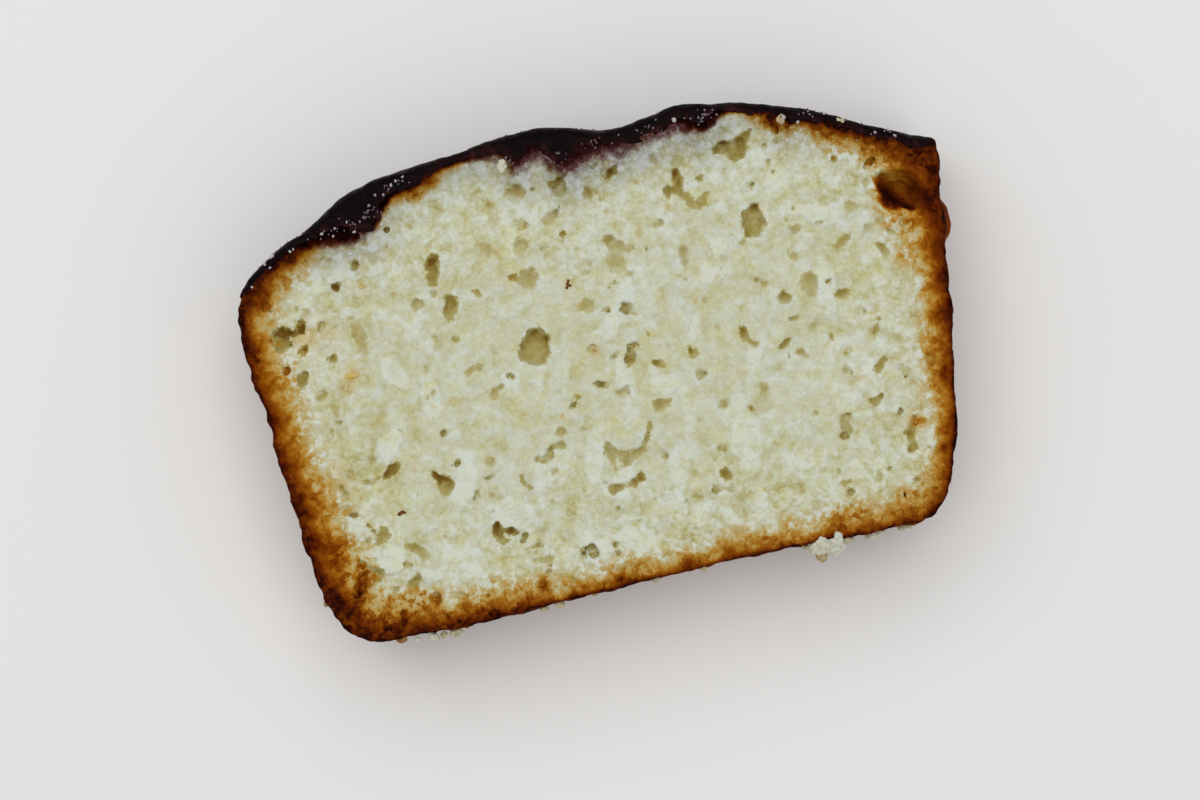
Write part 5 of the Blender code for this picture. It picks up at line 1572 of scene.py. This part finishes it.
# Loose crumbs: how browned each is, and its balls of x, y, level and radius, on the shown face if the
# level is None
EDGE = THICKNESS - 1.2
LOOSE_CRUMBS = (
    (0.05, ((31.0, -0.7, EDGE + 0.2, 1.2), (31.4, 0.2, EDGE + 1.1, 0.7), (30.0, -1.3, EDGE - 0.2, 1.1),
        (31.3, -1.7, EDGE - 0.6, 0.9), (30.3, -2.4, EDGE - 0.9, 0.7))),
    (0.15, ((28.9, -0.9, EDGE + 0.3, 1.2), (27.3, -0.7, EDGE + 0.2, 0.9), (29.6, -2.0, EDGE - 0.5, 0.8),
        (28.4, 0.0, EDGE + 0.7, 0.8))),
    (0.45, ((28.4, -2.6, EDGE - 0.6, 0.8), (28.0, -1.8, EDGE - 0.3, 0.8))),
    (0.3, ((32.5, -0.8, EDGE - 0.1, 0.7), (33.2, -0.9, EDGE - 0.3, 0.4))),
    (0.35, ((26.2, -0.6, EDGE, 0.6), (25.5, -0.4, EDGE, 0.35))),
    (0.05, ((36.9, -1.3, 11.0, 0.9), (37.8, -1.2, 10.6, 0.95), (38.8, -0.9, 10.8, 0.65))),
    (0.3, ((41.9, -1.0, 12.0, 0.6), (43.0, -0.9, 12.2, 0.65), (43.9, -0.6, 12.0, 0.5))),
    (0.0, ((-35.4, -1.8, EDGE - 1.0, 0.48),)),
    (0.1, ((-33.1, -1.7, EDGE - 0.8, 0.55), (-32.8, -2.2, EDGE - 1.0, 0.48))),
    (0.35, ((-31.3, -1.8, EDGE - 0.9, 0.55), (-31.5, -2.2, EDGE - 1.2, 0.35))),
    (0.3, ((-29.9, -1.8, EDGE - 0.8, 0.65), (-29.1, -1.9, EDGE - 1.0, 0.6),
        (-29.4, -2.4, EDGE - 1.2, 0.45))),
    (0.85, ((-27.5, -1.4, EDGE - 0.6, 0.5), (-26.9, -1.3, EDGE - 0.6, 0.4))),
    (0.75, ((-38.1, -1.1, EDGE - 0.2, 0.5), (-37.4, -1.1, EDGE - 0.3, 0.45))),
    (0.35, ((-15.4, -1.1, EDGE - 0.6, 0.5),)),
    (0.25, ((-13.1, -1.1, EDGE - 0.8, 0.55), (-12.6, -1.2, EDGE - 0.9, 0.4))),
    (0.5, ((-7.2, -0.8, EDGE - 0.5, 0.45),)),
    (0.3, ((2.4, -0.5, EDGE, 0.5),)),
    (0.4, ((9.9, -0.4, EDGE, 0.5),)),
    (0.5, ((-48.2, 6.6, EDGE - 1.0, 0.55),)),
    (0.1, ((-7.6, 66.7, None, 0.6), (-6.9, 67.2, None, 0.55), (-7.3, 66.2, None, 0.45))),
    (0.25, ((45.0, 62.8, None, 0.34), (45.5, 62.5, None, 0.28))),
    (0.4, ((36.6, 65.2, None, 0.38), (36.0, 64.9, None, 0.32), (36.3, 64.4, None, 0.3))),
)
# Zest and dark flecks: a tint from yellow through orange to dark, and a chain of balls
FLECKS = (
    (0.20, ((-37.5, 40.0, None, 0.34), (-37.0, 40.2, None, 0.50), (-36.4, 40.3, None, 0.52),
        (-35.9, 40.1, None, 0.36))),
    (0.0, ((-38.0, 38.3, None, 0.36), (-37.8, 38.9, None, 0.4), (-37.6, 39.4, None, 0.3))),
    (0.90, ((-1.4, 46.4, None, 0.26), (-1.2, 46.9, None, 0.32), (-0.9, 47.4, None, 0.26),
        (-0.8, 46.6, None, 0.28))),
    (0.95, ((-34.0, 17.8, None, 0.28), (-33.5, 18.0, None, 0.34), (-33.1, 17.8, None, 0.24))),
    (0.55, ((0.5, 36.1, None, 0.22), (0.9, 35.9, None, 0.24))),
    (0.05, ((-32.4, 53.2, None, 0.26), (-31.8, 53.4, None, 0.28))),
    (0.30, ((50.4, 54.5, None, 0.3), (50.9, 54.3, None, 0.24))),
    (0.50, ((46.0, 14.8, None, 0.22), (46.7, 14.7, None, 0.26), (47.4, 14.6, None, 0.2))),
)


def small_pieces(name, table, cell, rough, sunk, material):
    """One piece of many lumps, each with its own tint."""
    parts = []
    for number, (tint, balls) in enumerate(table):
        placed = []
        for x, y, z, radius in balls:
            if z is None:
                x, y, z = settled(x, y)
                z -= sunk * radius
            placed.append((x, y, z, radius))
        lump = Lump(placed, cell, rough, LUMP_SEED + number)
        parts.append((*keep_largest(*lump.mesh_data()), tint))
    return tinted_pieces(name, parts, material)


crumb_look = fleck_material("loose_crumb", LOOSE_CRUMB_STOPS, 0.6)
crumbs = small_pieces("loose_crumbs", LOOSE_CRUMBS, 0.16, 0.42, 0.2, crumb_look)
flecks = small_pieces("zest_flecks", FLECKS, 0.09, 0.12, 0.35, fleck_material("zest", FLECK_STOPS, 0.4))

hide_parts("cake")
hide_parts("glaze")
slots = ((cake, "crumb"), (glaze, "glaze"), (sugar, "glaze"), (crumbs, "crumb"), (flecks, "crumb"))
for piece, slot in slots:
    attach(piece, "root")

# Floor, light and camera
FLOOR_HALF = 3.0
FLOOR_DROP = 0.0002
floor_mesh = bpy.data.meshes.new("floor")
corners = [(x * FLOOR_HALF, y * FLOOR_HALF, 0) for x, y in ((-1, -1), (1, -1), (1, 1), (-1, 1))]
floor_mesh.from_pydata(corners, [], [(0, 1, 2, 3)])
floor_mesh.materials.append(floor_material())
floor = put("floor", floor_mesh)
floor.location.z = -FLOOR_DROP

PHOTO_TURN = math.radians(12.3)
PHOTO_CENTRE = (-0.1, 28.4)
FRAME_WIDTH = 184.8
CAMERA_DISTANCE = 480.0
SENSOR = 36.0

camera_data = bpy.data.cameras.new("camera")
camera_data.sensor_width = SENSOR
camera_data.lens = SENSOR * CAMERA_DISTANCE / FRAME_WIDTH
camera = put("camera", camera_data)
camera.location = (
    (PHOTO_CENTRE[0] + SHIFT[0]) * MM,
    (PHOTO_CENTRE[1] + SHIFT[1]) * MM,
    (THICKNESS + CAMERA_DISTANCE) * MM,
)
camera.rotation_euler = (0.0, 0.0, -PHOTO_TURN)
bpy.context.scene.camera = camera


def area_light(name, place, size, power):
    """A square lamp aimed at the slice; place is right, up and out of the photo, in metres."""
    light = bpy.data.lights.new(name, "AREA")
    light.shape = "SQUARE"
    light.size = size
    light.energy = power
    lamp = put(name, light)
    lamp.location = Matrix.Rotation(-PHOTO_TURN, 3, "Z") @ Vector(place)
    lamp.rotation_euler = (-lamp.location).to_track_quat("-Z", "Y").to_euler()


AMBIENT = 0.47
area_light("key", (-0.25, 0.5, 1.25), 1.6, 11.5)
area_light("fill", (0.6, -0.6, 1.0), 1.2, 2.5)
world = bpy.data.worlds.new("studio")
world.use_nodes = True
background = world.node_tree.nodes["Background"]
background.inputs["Color"].default_value = (1.0, 1.0, 1.0, 1.0)
background.inputs["Strength"].default_value = AMBIENT
bpy.context.scene.world = world
bpy.context.scene.view_settings.view_transform = "Standard"
